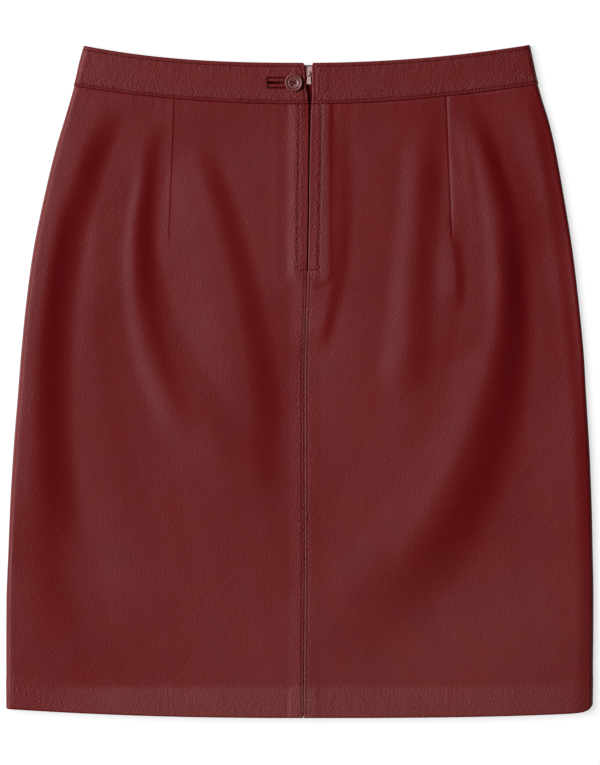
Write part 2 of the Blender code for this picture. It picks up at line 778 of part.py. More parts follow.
# ---------------------------------------------------------------- zip
def zip_depth(high, low, y):
    """The zip lies under the panels and dives deeper under the waistband."""
    return blend(high, low, smooth(ZIP_DIVE_START_Y, ZIP_DIVE_END_Y, y))


def make_zip_tape(name, side):
    ys = [TAPE_END_Y] + spaced(TAPE_END_Y, ZIP_DIVE_START_Y, 7)
    ys += spaced(ZIP_DIVE_START_Y, ZIP_DIVE_END_Y, 4) + [SLIDER_TOP_Y]

    def place(reach, y):
        return back_frame_at(centre_x(y) + side * reach, y)

    def outer(reach, y):
        return -zip_depth(TAPE_HIGH, TAPE_LOW, y)

    def inner(reach, y):
        return outer(reach, y) - TAPE_THICKNESS

    reaches = [TAPE_INNER] + spaced(TAPE_INNER, TAPE_OUTER, 2)
    make_wall(name, reaches, ys, place, outer, inner, DARK_BURGUNDY)


def make_zip_coil():
    """The closed coil, as one strip with a rounded top, from the slider to its lower end."""
    start_y = SLIDER_END_Y - GAP
    ys = [COIL_END_Y] + spaced(COIL_END_Y, ZIP_DIVE_START_Y, 7)
    ys += spaced(ZIP_DIVE_START_Y, ZIP_DIVE_END_Y, 4) + [start_y]

    def place(reach, y):
        return back_frame_at(centre_x(y) + reach, y)

    def outer(reach, y):
        shoulder = COIL_SHOULDER * (reach / COIL_HALF_WIDTH) ** 2
        return -zip_depth(COIL_HIGH, COIL_LOW, y) - shoulder

    def inner(reach, y):
        return -zip_depth(COIL_HIGH, COIL_LOW, y) - COIL_THICKNESS

    reaches = [-COIL_HALF_WIDTH] + spaced(-COIL_HALF_WIDTH, COIL_HALF_WIDTH, 4)
    make_wall("zip_coil", reaches, ys, place, outer, inner, DARK_BURGUNDY)


def pivot_point():
    return Vector((SLIDER_X, PIVOT_Y, back_height(SLIDER_X, PIVOT_Y) - PIVOT_DEPTH))


def thicken(mesh, offset):
    """Makes a closed solid of a flat mesh by pulling a copy of its faces away, and gives the copy."""
    grown = bmesh.ops.extrude_face_region(mesh, geom=mesh.faces[:], use_keep_orig=True)["geom"]
    moved = [item for item in grown if isinstance(item, bmesh.types.BMVert)]
    bmesh.ops.translate(mesh, vec=Vector(offset) * MM, verts=moved)
    return moved


def make_bail():
    """The arch over the slider that the pull hangs on: a flat strip bent round the pivot."""
    foot = PIVOT_DEPTH - SLIDER_DEPTH - SLIDER_PLATE / 2
    turns = [pi * step / BAIL_STEPS for step in range(BAIL_STEPS + 1)]
    outline = [(BAIL_OUTER * cos(turn), BAIL_OUTER * sin(turn)) for turn in turns]
    outline += [(-BAIL_OUTER, foot), (-BAIL_INNER, foot)]
    outline += [(BAIL_INNER * cos(turn), BAIL_INNER * sin(turn)) for turn in reversed(turns)]
    outline += [(BAIL_INNER, foot), (BAIL_OUTER, foot)]
    mesh = bmesh.new()
    corner = pivot_point() - Vector((BAIL_WIDTH / 2, 0.0, 0.0))
    mesh.faces.new([mesh.verts.new((corner + Vector((0.0, y, z))) * MM) for y, z in outline])
    thicken(mesh, (BAIL_WIDTH, 0.0, 0.0))
    return make_object("bail_shape", mesh, NICKEL)


def make_slider():
    """Two plates on a web, wide at the top where the teeth part, with the bail joined on."""
    half, web, plate, height = SLIDER_HALF_WIDTH, SLIDER_WEB, SLIDER_PLATE, SLIDER_HEIGHT
    right = [(half, 0.0), (half, -plate), (web, -plate), (web, plate - height), (half, plate - height),
             (half, -height)]
    left = [(-x, z) for x, z in reversed(right)]
    corner = Vector((SLIDER_X, SLIDER_TOP_Y, back_height(SLIDER_X, PIVOT_Y) - SLIDER_DEPTH))
    mesh = bmesh.new()
    mesh.faces.new([mesh.verts.new((corner + Vector((x, 0.0, z))) * MM) for x, z in right + left])
    tail = thicken(mesh, (0.0, SLIDER_END_Y - SLIDER_TOP_Y, 0.0))
    middle = Matrix.Translation(-corner * MM)
    bmesh.ops.scale(mesh, vec=(SLIDER_TAIL, 1.0, 1.0), space=middle, verts=tail)
    use_shape(make_object("zip_slider", mesh, NICKEL), make_bail(), "UNION")


def make_pull():
    """The pull: a flat tab with a hole that the bail passes through, made about its pivot."""
    mesh = bmesh.new()
    last_row = len(PULL_ROWS) - 1
    bmesh.ops.create_grid(mesh, x_segments=3, y_segments=last_row, size=0.5)
    for vertex in mesh.verts:
        row = PULL_ROWS[last_row - round((vertex.co.y + 0.5) * last_row)]
        column = round((vertex.co.x + 0.5) * 3)
        half = row.half_width if column in (0, 3) else PULL_HOLE_HALF
        vertex.co = Vector((half if column > 1 else -half, -row.reach, -PULL_THICKNESS / 2)) * MM
    hole_y = -(PULL_ROWS[PULL_HOLE_ROW].reach + PULL_ROWS[PULL_HOLE_ROW + 1].reach) / 2 * MM
    spot = Vector((0.0, hole_y, -PULL_THICKNESS / 2 * MM))
    hole = min(mesh.faces, key=lambda face: (face.calc_center_median() - spot).length)
    bmesh.ops.delete(mesh, geom=[hole], context="FACES_ONLY")
    thicken(mesh, (0.0, 0.0, PULL_THICKNESS))
    pull = make_object("zip_pull", mesh, NICKEL)
    pull.location = pivot_point() * MM


# ---------------------------------------------------------------- the skirt
def build():
    for item in list(bpy.data.objects):
        bpy.data.objects.remove(item, do_unlink=True)
    make_back_panel("back_left_panel", LEFT)
    make_back_panel("back_right_panel", RIGHT)
    make_front_panel()
    cut_buttonhole(make_back_band("waistband_back_left", LEFT))
    make_back_band("waistband_back_right", RIGHT)
    make_front_band()
    make_button_tab()
    make_lip("buttonhole_lip_upper", 1)
    make_lip("buttonhole_lip_lower", -1)
    make_button()
    make_button_thread()
    make_zip_tape("zip_tape_left", LEFT)
    make_zip_tape("zip_tape_right", RIGHT)
    make_zip_coil()
    make_slider()
    make_pull()


build()
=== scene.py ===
# %% [markdown]
# # A leather pencil skirt, laid flat with its zip up
# This lesson dresses a plain frame of a skirt in soft burgundy nappa. The frame holds the cut pieces at
# their real size: panels, waistband, zip and button. Here each of them gets its folds, its seams, its
# stitches and a finish that takes the light as leather does.

from collections import namedtuple
from math import cos, pi, radians, sin

import bmesh
import bpy
import numpy as np
from mathutils import Matrix, Vector


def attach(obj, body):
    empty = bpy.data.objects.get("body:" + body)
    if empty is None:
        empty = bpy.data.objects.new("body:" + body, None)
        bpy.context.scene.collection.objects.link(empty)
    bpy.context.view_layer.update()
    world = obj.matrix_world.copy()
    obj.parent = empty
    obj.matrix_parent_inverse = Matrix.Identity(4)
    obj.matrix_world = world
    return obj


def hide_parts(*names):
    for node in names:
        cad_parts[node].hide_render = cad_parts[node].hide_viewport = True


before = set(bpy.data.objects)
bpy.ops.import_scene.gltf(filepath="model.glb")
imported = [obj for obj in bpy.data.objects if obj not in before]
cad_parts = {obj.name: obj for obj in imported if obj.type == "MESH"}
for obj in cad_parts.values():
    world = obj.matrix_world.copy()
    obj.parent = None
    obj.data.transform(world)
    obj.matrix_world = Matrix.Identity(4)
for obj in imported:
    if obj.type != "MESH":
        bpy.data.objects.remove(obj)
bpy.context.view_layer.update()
CLOTH_BODY = "skirt"
PULL_BODY = "pull_tab"
print("frame nodes:", sorted(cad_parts))

# %% [markdown]
# ## The view
# The skirt lies on a table and is seen from straight above. A short lens close by would show its higher
# parts larger than its lower ones, and a long lens far away doesn't. The frame of the picture is worked
# out from the size of one pixel on the table.

# %% The camera
PICTURE = (600, 765)
PIXEL = 0.000852                  # metres on the table for one pixel
VIEW_CENTRE = Vector((0.0, -0.0009, 0.0))
CAMERA_HEIGHT = 15.0
SENSOR = 0.024


def show(name, data):
    """Puts some data into the scene as an object."""
    made = bpy.data.objects.new(name, data)
    bpy.context.scene.collection.objects.link(made)
    return made


camera_data = bpy.data.cameras.new("camera")
camera_data.sensor_fit = "VERTICAL"
camera_data.sensor_height = SENSOR * 1000
camera_data.lens = SENSOR * 1000 * CAMERA_HEIGHT / (PICTURE[1] * PIXEL)
camera = show("camera", camera_data)
camera.location = VIEW_CENTRE + Vector((0.0, 0.0, CAMERA_HEIGHT))
bpy.context.scene.camera = camera
print(f"lens {camera_data.lens:.0f} mm, {CAMERA_HEIGHT} m above the table")

# %% [markdown]
# ## Light and table
# Leather shows its folds by its sheen, so the light matters as much as the shape. Several small lamps
# would put several bright spots on each fold. One broad lamp stands high on the left instead, so that
# the slopes that face it are bright and the others are dark. The rest of the room is nearly dark.

# %% Lamp
LAMP_PLACE = Vector((-14.4, 3.6, 14.4))
LAMP_WIDTH = 17.2
LAMP_WATTS = 7830.0
ROOM_GREY = 0.02

lamp_data = bpy.data.lights.new("softbox", "AREA")
lamp_data.shape = "SQUARE"
lamp_data.size = LAMP_WIDTH
lamp_data.energy = LAMP_WATTS
lamp = show("softbox", lamp_data)
lamp.location = LAMP_PLACE
lamp.rotation_euler = (-LAMP_PLACE).to_track_quat("-Z", "Y").to_euler()
print(f"one lamp, {LAMP_PLACE.length:.1f} m away")

# %% Table and room
TABLE_HALF = 4.0
TABLE_GREY = 0.3
TABLE_GLOW = 0.72                # the table glows, so that shadows on it stay faint


def feed(tree, node, inputs):
    """Gives each input of a node its value, or links it to a socket. Three numbers are a colour."""
    for key, value in inputs.items():
        if isinstance(value, bpy.types.NodeSocket):
            tree.links.new(value, node.inputs[key])
        elif isinstance(value, tuple):
            node.inputs[key].default_value = (*value, 1.0)
        else:
            node.inputs[key].default_value = value


def blank(name):
    """A new material's node tree and shader, and the material."""
    material = bpy.data.materials.new(name)
    material.use_nodes = True
    return material.node_tree, material.node_tree.nodes["Principled BSDF"], material


def mesh_data(name, mesh):
    """Mesh data made of a bmesh, which is freed."""
    data = bpy.data.meshes.new(name)
    mesh.to_mesh(data)
    mesh.free()
    return data


world = bpy.data.worlds.new("studio")
world.use_nodes = True
feed(world.node_tree, world.node_tree.nodes["Background"], {"Color": (ROOM_GREY,) * 3})
bpy.context.scene.world = world
bpy.context.scene.view_settings.view_transform = "Standard"

mesh = bmesh.new()
bmesh.ops.create_grid(mesh, x_segments=1, y_segments=1, size=TABLE_HALF)
floor = show("floor", mesh_data("floor", mesh))
tree, shader, pale_table = blank("pale_table")
feed(tree, shader, {"Base Color": (TABLE_GREY,) * 3, "Roughness": 0.9})
feed(tree, shader, {"Emission Color": (1.0, 1.0, 1.0), "Emission Strength": TABLE_GLOW})
floor.data.materials.append(pale_table)
print(f"a pale table, {2 * TABLE_HALF:.0f} m wide")

# %% [markdown]
# ## The shape that the leather lies in
# The frame was made from one surface: the outer face of the skirt's back. The same few tables give that
# surface here, so that the fine pieces lie exactly where the frame's plain ones do. Sizes are in
# millimetres, and drop is the distance down from the highest point of the waist. A cloth simulation
# would let the leather fall by itself, but its folds would lie elsewhere than in the frame.

# %% Sizes of the skirt
MM = 0.001
LEFT, RIGHT = -1, 1
SIDE_NAMES = {LEFT: "left", RIGHT: "right"}
LENGTH = 573.4
TOP_Y = LENGTH / 2
LEATHER = 1.2
HEM_TURN = 26.0
GAP = 0.3
SEAM_AIR = 0.02                  # the waist seam is drawn tight, so that the table doesn't show in it
BAND_PROUD = 0.6
BAND_UNDER = 1.8
FRONT_DIP = 8.0
FRONT_HEM_LIFT = 1.5
SEAM_Z = 3.0
ROLL = 3.8
ROLL_LENGTH = ROLL * pi / 2
DART_LEFT_X, DART_RIGHT_X = -105.7, 121.8
DART_DRIFT = 0.04
DART_REACH = 118.0
DART_END = 174.7
ZIP_END = 192.1

Side = namedtuple("Side", "drop left right")
SIDE_LINES = (
    Side(0.9, -183.6, 195.5),
    Side(12.8, -187.0, 198.1),
    Side(29.8, -190.9, 201.7),
    Side(46.9, -195.5, 206.4),
    Side(63.9, -200.6, 211.7),
    Side(89.5, -208.3, 217.7),
    Side(132.1, -218.5, 225.4),
    Side(174.7, -227.1, 232.2),
    Side(217.3, -233.0, 237.3),
    Side(259.9, -237.3, 241.5),
    Side(302.5, -240.7, 244.1),
    Side(345.1, -244.1, 246.7),
    Side(387.7, -246.7, 248.4),
    Side(430.3, -248.4, 249.4),
    Side(472.9, -250.1, 250.1),
    Side(573.4, -250.1, 249.2),
)
Centre = namedtuple("Centre", "drop x")
CENTRE_LINE = (
    Centre(0.0, 8.9),
    Centre(50.0, 8.5),
    Centre(76.0, 8.0),
    Centre(106.0, 7.5),
    Centre(152.0, 7.0),
    Centre(183.0, 6.5),
    Centre(214.0, 5.5),
    Centre(245.0, 4.4),
    Centre(270.0, 3.8),
    Centre(340.0, 3.8),
    Centre(430.0, 4.0),
    Centre(500.0, 3.65),
    Centre(573.4, 2.95),
)

Closing = namedtuple("Closing", "drop left right")
CLOSING = (
    Closing(15.3, 2.8, 11.0),
    Closing(17.9, 4.4, 10.0),
    Closing(25.6, 4.9, 10.1),
    Closing(34.6, 5.1, 10.1),
    Closing(43.5, 7.0, 10.2),
    Closing(49.6, 7.3, 10.0),
    Closing(60.0, 7.1, 9.3),
    Closing(76.0, 7.2, 8.9),
    Closing(106.0, 6.9, 8.2),
    Closing(152.0, 6.5, 7.7),
    Closing(ZIP_END, 5.7, 6.9),
)
Height = namedtuple("Height", "drop side middle")
HEIGHTS = (
    Height(0.0, 6.6, 9.3),
    Height(50.0, 6.6, 9.3),
    Height(130.0, 8.3, 10.1),
    Height(300.0, 8.8, 10.3),
    Height(450.0, 8.6, 10.2),
    Height(573.4, 8.6, 10.4),
)
Line = namedtuple("Line", "drop rise_left power_left rise_right power_right half_left half_right middle")
WAIST_LINE = Line(15.3, 14.5, 2.6, 15.3, 2.0, 190.0, 189.1, 6.4)
BAND_LINE = Line(50.9, 15.2, 2.1, 17.0, 1.8, 197.7, 196.0, 6.4)
HEM_LINE = Line(LENGTH, 7.7, 2.2, 4.6, 3.0, 250.1, 249.2, 0.0)
HEM_CORNER = 5.6
HEM_CORNER_POWER = 60
print(f"{LENGTH} mm long")

# %% The folds
Fold = namedtuple(
    "Fold", "top_drop top_x mid_drop mid_x end_drop end_x rise reach_left reach_right spread fade"
)
FOLDS = (
    Fold(136.0, -260.0, 392.0, -243.0, 439.0, -210.0, -2.2, 63.0, 78.0, 1.1, 38.0),
    Fold(167.0, -197.0, 259.0, -205.0, 464.0, -191.0, -1.6, 15.0, 25.0, 2.5, 62.0),
    Fold(101.0, -191.0, 184.0, -213.0, 361.0, -224.0, 4.8, 90.0, 27.0, 1.3, 88.0),
    Fold(242.0, -140.0, 370.0, -146.0, 525.0, -134.0, -1.8, 68.0, 90.0, 1.6, 58.0),
    Fold(138.0, -135.0, 168.0, -139.0, 290.0, -121.0, 1.3, 13.0, 16.0, 1.3, 60.0),
    Fold(117.0, -121.0, 179.0, -118.0, 299.0, -60.0, -3.2, 18.0, 90.0, 2.4, 117.0),
    Fold(127.0, -80.0, 168.0, -68.0, 294.0, -45.0, 3.0, 68.0, 23.0, 1.3, 114.0),
    Fold(105.0, 23.0, 207.0, 24.0, 237.0, 19.0, 1.5, 76.0, 24.0, 0.5, 30.0),
    Fold(114.0, 76.0, 278.0, 91.0, 370.0, 110.0, 1.6, 66.0, 57.0, 2.0, 160.0),
    Fold(116.0, 102.0, 159.0, 99.0, 259.0, 90.0, 1.6, 20.0, 21.0, 1.2, 61.0),
    Fold(317.0, 106.0, 468.0, 38.0, 498.0, 24.0, 0.5, 41.0, 27.0, 1.1, 25.0),
    Fold(116.0, 142.0, 218.0, 142.0, 248.0, 137.0, 1.1, 24.0, 10.0, 2.3, 26.0),
    Fold(185.0, 130.5, 195.0, 131.5, 205.0, 132.0, 1.1, 22.0, 9.0, 1.0, 25.0),
    Fold(102.0, 158.0, 191.0, 173.0, 409.0, 117.0, 3.0, 22.0, 16.0, 2.8, 74.0),
    Fold(68.0, 166.0, 135.0, 202.0, 203.0, 224.0, -2.0, 62.0, 39.0, 0.5, 160.0),
    Fold(200.0, 192.0, 425.0, 151.0, 455.0, 136.0, -3.9, 23.0, 43.0, 2.8, 109.0),
    Fold(90.0, 215.0, 300.0, 244.0, 560.0, 250.0, -1.6, 14.0, 12.0, 1.1, 60.0),
)
FADE_IN = 60.0
print(len(FOLDS), "folds")

# %% Reading the tables


def blend(low, high, share):
    return low + (high - low) * share


def smooth(start, end, value):
    """0 up to start, 1 from end on, with a soft turn at both."""
    share = np.clip((value - start) / (end - start), 0.0, 1.0)
    return share * share * (3.0 - 2.0 * share)


def read_line(table, column, drop):
    return np.interp(drop, [row.drop for row in table], [getattr(row, column) for row in table])


def read_curve(table, column, drop):
    """The column's value at a drop, on a smooth curve through the rows."""
    drops = np.array([row.drop for row in table])
    values = np.array([getattr(row, column) for row in table])
    last = len(table) - 1
    before, after = np.maximum(np.arange(last + 1) - 1, 0), np.minimum(np.arange(last + 1) + 1, last)
    slopes = (values[after] - values[before]) / (drops[after] - drops[before])
    drop = np.clip(drop, drops[0], drops[last])
    i = np.clip(np.searchsorted(drops, drop) - 1, 0, last - 1)
    span = drops[i + 1] - drops[i]
    t = (drop - drops[i]) / span
    return (
        (2 * t**3 - 3 * t**2 + 1) * values[i] + (t**3 - 2 * t**2 + t) * span * slopes[i]
        + (3 * t**2 - 2 * t**3) * values[i + 1] + (t**3 - t**2) * span * slopes[i + 1]
    )


def side_x(side, y):
    return read_curve(SIDE_LINES, SIDE_NAMES[side], TOP_Y - y)


def centre_x(y):
    return read_curve(CENTRE_LINE, "x", TOP_Y - y)


def closing_x(side, y):
    """The edge at the centre back: the seam, or above its end the opening over the zip."""
    opening = read_line(CLOSING, SIDE_NAMES[side], TOP_Y - y)
    return np.where(TOP_Y - y > ZIP_END, centre_x(y) + side * GAP / 2, opening)


def dart_x(side, y):
    start_x = DART_LEFT_X if side == LEFT else DART_RIGHT_X
    return start_x + side * DART_DRIFT * np.minimum(TOP_Y - y, DART_END)


def line_y(line, x):
    left = line.rise_left * (np.maximum(line.middle - x, 0.0) / line.half_left) ** line.power_left
    right = line.rise_right * (np.maximum(x - line.middle, 0.0) / line.half_right) ** line.power_right
    return TOP_Y - line.drop + left + right


def waist_y(x):
    return line_y(WAIST_LINE, x)


def band_end_y(x):
    return line_y(BAND_LINE, x) + SEAM_AIR / 2


def panel_top_y(x):
    return line_y(BAND_LINE, x) - SEAM_AIR / 2


def hem_y(x):
    return line_y(HEM_LINE, x) + HEM_CORNER * np.maximum(x / HEM_LINE.half_right, 0.0) ** HEM_CORNER_POWER


print(f"{side_x(RIGHT, 0.0) - side_x(LEFT, 0.0):.0f} mm wide at half its length")

# %% The back's surface
SHORT_STEP = 0.02


def fold_height(fold, x, drop):
    shown = smooth(fold.top_drop - FADE_IN, fold.top_drop, drop)
    shown = shown * (1.0 - smooth(fold.end_drop, fold.end_drop + fold.fade, drop))
    first = (fold.mid_x - fold.top_x) / (fold.mid_drop - fold.top_drop)
    second = (fold.end_x - fold.mid_x) / (fold.end_drop - fold.mid_drop)
    bend = (second - first) / (fold.end_drop - fold.top_drop)
    run = drop - fold.top_drop
    crest_x = fold.top_x + first * run + bend * run * (drop - fold.mid_drop)
    slope = first + bend * (run + drop - fold.mid_drop)
    away = (x - crest_x) / np.sqrt(1.0 + slope * slope)
    wide = blend(1.0, fold.spread, np.clip(run / (fold.end_drop - fold.top_drop), 0.0, 1.0))
    reach = np.where(away < 0.0, fold.reach_left, fold.reach_right) * wide
    share = np.minimum(abs(away) / reach, 1.0)
    return fold.rise * shown * (1.0 + np.cos(pi * share)) / 2


def back_height(x, y):
    drop = TOP_Y - y
    left, right = side_x(LEFT, y), side_x(RIGHT, y)
    across = np.minimum(abs((2 * x - left - right) / (right - left)), 1.0)
    height = blend(read_curve(HEIGHTS, "middle", drop), read_curve(HEIGHTS, "side", drop), across**4)
    for fold in FOLDS:
        height = height + fold_height(fold, x, drop)
    return height


def rolled_point(side, along, y, height_of, low):
    """A point this far along the leather from a side seam, on a surface that rolls over at its side."""
    turn = np.minimum(along / ROLL, pi / 2)
    inset = ROLL * (1.0 - np.cos(turn)) + np.maximum(along - ROLL_LENGTH, 0.0)
    x = side_x(side, y) - side * inset
    z = low + np.sin(turn) * (height_of(x, y) - low)
    return np.stack([x, y, z], axis=-1)


def back_point(side, along, y):
    return rolled_point(side, along, y, back_height, SEAM_Z + GAP / 2)


def front_point(side, along, y):
    return rolled_point(side, along, y, lambda x, y: np.zeros_like(x), SEAM_Z - GAP / 2)


def surface_frame(point_of, side, along, y, outward):
    """Points of a surface and their normals, from short steps along it and down it."""
    step = SHORT_STEP
    across = point_of(side, along + step, y) - point_of(side, np.maximum(along - step, 0.0), y)
    down = point_of(side, along, y + step) - point_of(side, along, y - step)
    normal = np.cross(across, down) * -side * outward
    return point_of(side, along, y), normal / np.linalg.norm(normal, axis=-1, keepdims=True)


def back_frame_at(x, y):
    """Points of the back's outer face and their normals, for places given by x, inside the rolls."""
    step = SHORT_STEP
    rise_x = (back_height(x + step, y) - back_height(x - step, y)) / (2 * step)
    rise_y = (back_height(x, y + step) - back_height(x, y - step)) / (2 * step)
    normals = np.stack([-rise_x, -rise_y, np.ones_like(x)], axis=-1)
    points = np.stack([x, y, back_height(x, y)], axis=-1)
    return points, normals / np.linalg.norm(normals, axis=-1, keepdims=True)


print(f"the back lies {float(back_height(0.0, 0.0)):.1f} mm high in its middle")

# %% [markdown]
# ## What shows through the leather
# Soft leather prints what lies under it: the zip's tape, the glued seam allowances, the turned hem. The
# seams and stitch lines sink into it. Each could be a groove cut by hand into the mesh, but here each is
# a small height over the smooth surface, worked out for every point, so that they add up.

# %% Grooves and ridges
Groove = namedtuple("Groove", "depth width")       # a ridge has a negative depth


def dent(distance, groove):
    """The height of a soft groove at this distance from its middle."""
    return -groove.depth * np.exp(-((distance / groove.width) ** 2))


def wobble(x, y, grain):
    """An uneven swing between about -1 and 1 with this distance between its crests."""
    u, v = x * 2 * pi / grain, y * 2 * pi / grain
    bent = np.sin(u + 0.7 * np.sin(0.63 * v + 0.4))
    return (bent + np.sin(0.61 * u - 0.83 * v + 1.3) + np.sin(1.47 * u + 0.37 * v + 2.1)) / 3.0


print(f"a ridge of 0.4 mm at its crest: {dent(0.0, Groove(-0.4, 1.0))} mm")

# %% The zip's print and the opening over it
PRINT_X, PRINT_HALF = 8.0, 19.3  # the U-shaped print of the zip's tapes and its allowance
PRINT_TURN, PRINT_BOTTOM = 195.0, 12.0
PRINT_RISE = 0.42
PRINT_SOFT = {LEFT: 0.62, RIGHT: 0.84}             # where its fall to the outline starts
PRINT_RIM_SHARE, PRINT_RIM = 1.45, Groove(-0.12, 0.13)
ZIP_SWITCH = 0.6                 # half the length over which the opening turns into the seam
LIP_GROOVES = {LEFT: Groove(0.1, 0.4), RIGHT: Groove(0.3, 0.4)}
TENT_RISE, TENT_HALF = 0.5, 9.5  # the coil lifts the leather between the two stitch lines
ZIP_STITCH_ENDS = {LEFT: (-0.9, -2.1), RIGHT: (18.3, 15.8)}
ZIP_STITCH_GROOVE = Groove(0.38, 0.7)
ZIP_BAR_HALF, ZIP_BAR_GROOVE = 10.2, Groove(0.3, 0.7)
DIP_DROPS, DIP_X, DIP = (196.0, 236.0, 380.0), 4.0, Groove(1.2, 22.0)   # the leather sags below the zip


def zip_stitch_x(side, drop):
    """Where the stitch lines beside the zip run."""
    share = (drop - BAND_LINE.drop) / (ZIP_END - BAND_LINE.drop)
    return blend(*ZIP_STITCH_ENDS[side], share)


def print_share(x, drop):
    """0 in the middle of the print of the zip's tape, 1 on its outline."""
    return np.hypot((x - PRINT_X) / PRINT_HALF, np.maximum(drop - PRINT_TURN, 0.0) / PRINT_BOTTOM)


def zip_relief(side, x, drop, edge, above):
    """The zip's print, where edge is the distance to the opening, and above is 0 past the zip's end."""
    share = print_share(x, drop)
    soft_start = np.where(x < PRINT_X, PRINT_SOFT[LEFT], PRINT_SOFT[RIGHT])
    out = PRINT_RISE * (1.0 - smooth(soft_start, 1.08, share)) + dent(share - PRINT_RIM_SHARE, PRINT_RIM)
    tent = np.maximum(1.0 - abs(x - PRINT_X) / TENT_HALF, 0.0)
    out = out + TENT_RISE * tent * (1.0 - smooth(ZIP_END - 20.0, ZIP_END, drop)) * smooth(50.0, 70.0, drop)
    out = out + above * dent(edge, LIP_GROOVES[side])
    out = out + above * dent(x - zip_stitch_x(side, drop), ZIP_STITCH_GROOVE)
    out = out + np.where(abs(x - PRINT_X) < ZIP_BAR_HALF, dent(drop - ZIP_END, ZIP_BAR_GROOVE), 0.0)
    start, deepest, end = DIP_DROPS
    dip = smooth(start, deepest, drop) * (1.0 - smooth(deepest, end, drop))
    return out + dip * dent(x - DIP_X, DIP)


print(f"the zip's print reaches {PRINT_TURN + PRINT_BOTTOM:.0f} mm down")

# %% Darts
Dart = namedtuple("Dart", "rise rise_width fall")
DARTS = {LEFT: Dart(0.15, 3.0, Groove(0.15, 12.0)), RIGHT: Dart(0.0, 3.0, Groove(0.35, 1.6))}
DART_STEP = 0.9                  # a dart is glued to one side, which leaves a small step
DART_FADE = 22.0


def dart_relief(side, x, y):
    """A soft rise up to the dart's seam, and a groove past it."""
    dart = DARTS[side]
    past = x - dart_x(side, y)
    lifted = np.where(past < 0.0, dent(past, Groove(-dart.rise, dart.rise_width)), dart.rise)
    fallen = dent(np.maximum(past - DART_STEP, 0.0), dart.fall)
    sewn = 1.0 - smooth(DART_END - DART_FADE, DART_END, TOP_Y - y)
    return sewn * blend(lifted, fallen, np.clip(past / DART_STEP, 0.0, 1.0))


print("darts end", DART_END, "mm down")

# %% Relief of the panels
ALLOWANCE_END = 12.0
ALLOWANCE_DROPS = (200.0, 214.0)
ALLOWANCE_RISE, ALLOWANCE_HEM_RISE = 0.05, 0.3
SEAM_GROOVE = Groove(0.32, 0.35)
STITCH_REACH = 2.3               # topstitching beside the centre back seam
STITCH_GROOVE = Groove(0.22, 0.45)
HEM_LINE_DROP = LENGTH - HEM_TURN
HEM_SOFT, HEM_RISE, HEM_FOLD = 3.0, 0.25, Groove(0.8, 0.8)
WAIST_GROOVE, WAIST_GATHERS = Groove(0.4, 1.1), Groove(-0.1, 13.0)


def hem_share(x, cut_drop):
    """0 above the turned hem and 1 on it, with a line between that isn't quite even."""
    return smooth(HEM_LINE_DROP - HEM_SOFT, HEM_LINE_DROP + HEM_SOFT, cut_drop + 0.6 * wobble(x, 0.0, 23.0))


def allowance_share(reach, drop, fade):
    """1 on the seam allowances that are glued down beside the centre seam."""
    return (1.0 - smooth(ALLOWANCE_END - 1.0, ALLOWANCE_END + fade, reach)) * smooth(*ALLOWANCE_DROPS, drop)


def panel_relief(side, x, y, cut_drop):
    """How far the leather stands out, where cut_drop runs parallel to the waist seam and the hem."""
    drop = TOP_Y - y
    reach = side * (x - centre_x(y))
    edge = reach - side * (closing_x(side, y) - centre_x(y))
    above = 1.0 - smooth(ZIP_END - ZIP_SWITCH, ZIP_END + ZIP_SWITCH, drop)
    hem = hem_share(x, cut_drop)
    out = zip_relief(side, x, drop, edge, above) + dart_relief(side, x, y)
    out = out + (1.0 - above) * (dent(edge, SEAM_GROOVE) + dent(reach - STITCH_REACH, STITCH_GROOVE))
    out = out + allowance_share(reach, drop, 1.2) * (ALLOWANCE_RISE + ALLOWANCE_HEM_RISE * hem)
    out = out + HEM_RISE * hem + dent(LENGTH - cut_drop, HEM_FOLD) + 0.05 * hem * wobble(x, 0.15 * y, 5.0)
    seam = cut_drop - BAND_LINE.drop
    out = out + dent(seam, WAIST_GROOVE) + dent(seam, WAIST_GATHERS) * wobble(x, 0.12 * y, 8.0)
    return out + 0.07 * wobble(x, y, 41.0) + 0.03 * wobble(y, x, 19.0)


print(f"the turned hem starts {HEM_LINE_DROP:.1f} mm down")

# %% Relief of the waistband
BAND_HEIGHT = BAND_LINE.drop - WAIST_LINE.drop
BAND_STITCH = 3.4                # from the upper folded edge to the topstitching
SEAM_STITCH = 2.7                # from the waist seam to the topstitching
BAND_END_STITCH = 2.5
FOLD_GROOVE = Groove(0.8, 0.6)
BAND_STITCH_GROOVE = Groove(0.25, 0.6)
SEAM_STITCH_GROOVE = Groove(0.5, 0.7)
SEAM_WELT, SEAM_WELT_UP = Groove(-0.22, 0.6), 1.4  # the swell between the waist seam and its stitches
END_WELT, END_WELT_REACH = Groove(-0.1, 0.5), 1.2
BAND_END_GROOVES = {LEFT: Groove(0.3, 0.6), RIGHT: Groove(0.8, 0.6)}
WINDOW_GROOVE = Groove(0.3, 1.0)
LOW_GATHERS, LOW_GATHERS_UP = Groove(-0.22, 3.6), 5.5
HIGH_GATHERS, HIGH_GATHERS_DOWN = Groove(-0.1, 4.5), 7.0
BUTTON_X, BUTTON_Y = -5.3, 254.3
WINDOW_LEFT, WINDOW_RIGHT, WINDOW_HEIGHT = -27.3, -2.7, 8.5


def window_distance(x, y):
    """How far a place lies outside the buttonhole's window."""
    away_x = np.maximum(np.maximum(WINDOW_LEFT - x, x - WINDOW_RIGHT), 0.0)
    away_y = np.maximum(abs(y - BUTTON_Y) - WINDOW_HEIGHT / 2, 0.0)
    return np.hypot(away_x, away_y)


def folded_edges(down):
    """The folded edges at the top and the bottom of the waistband."""
    return dent(down, FOLD_GROOVE) + dent(BAND_HEIGHT - down, FOLD_GROOVE)


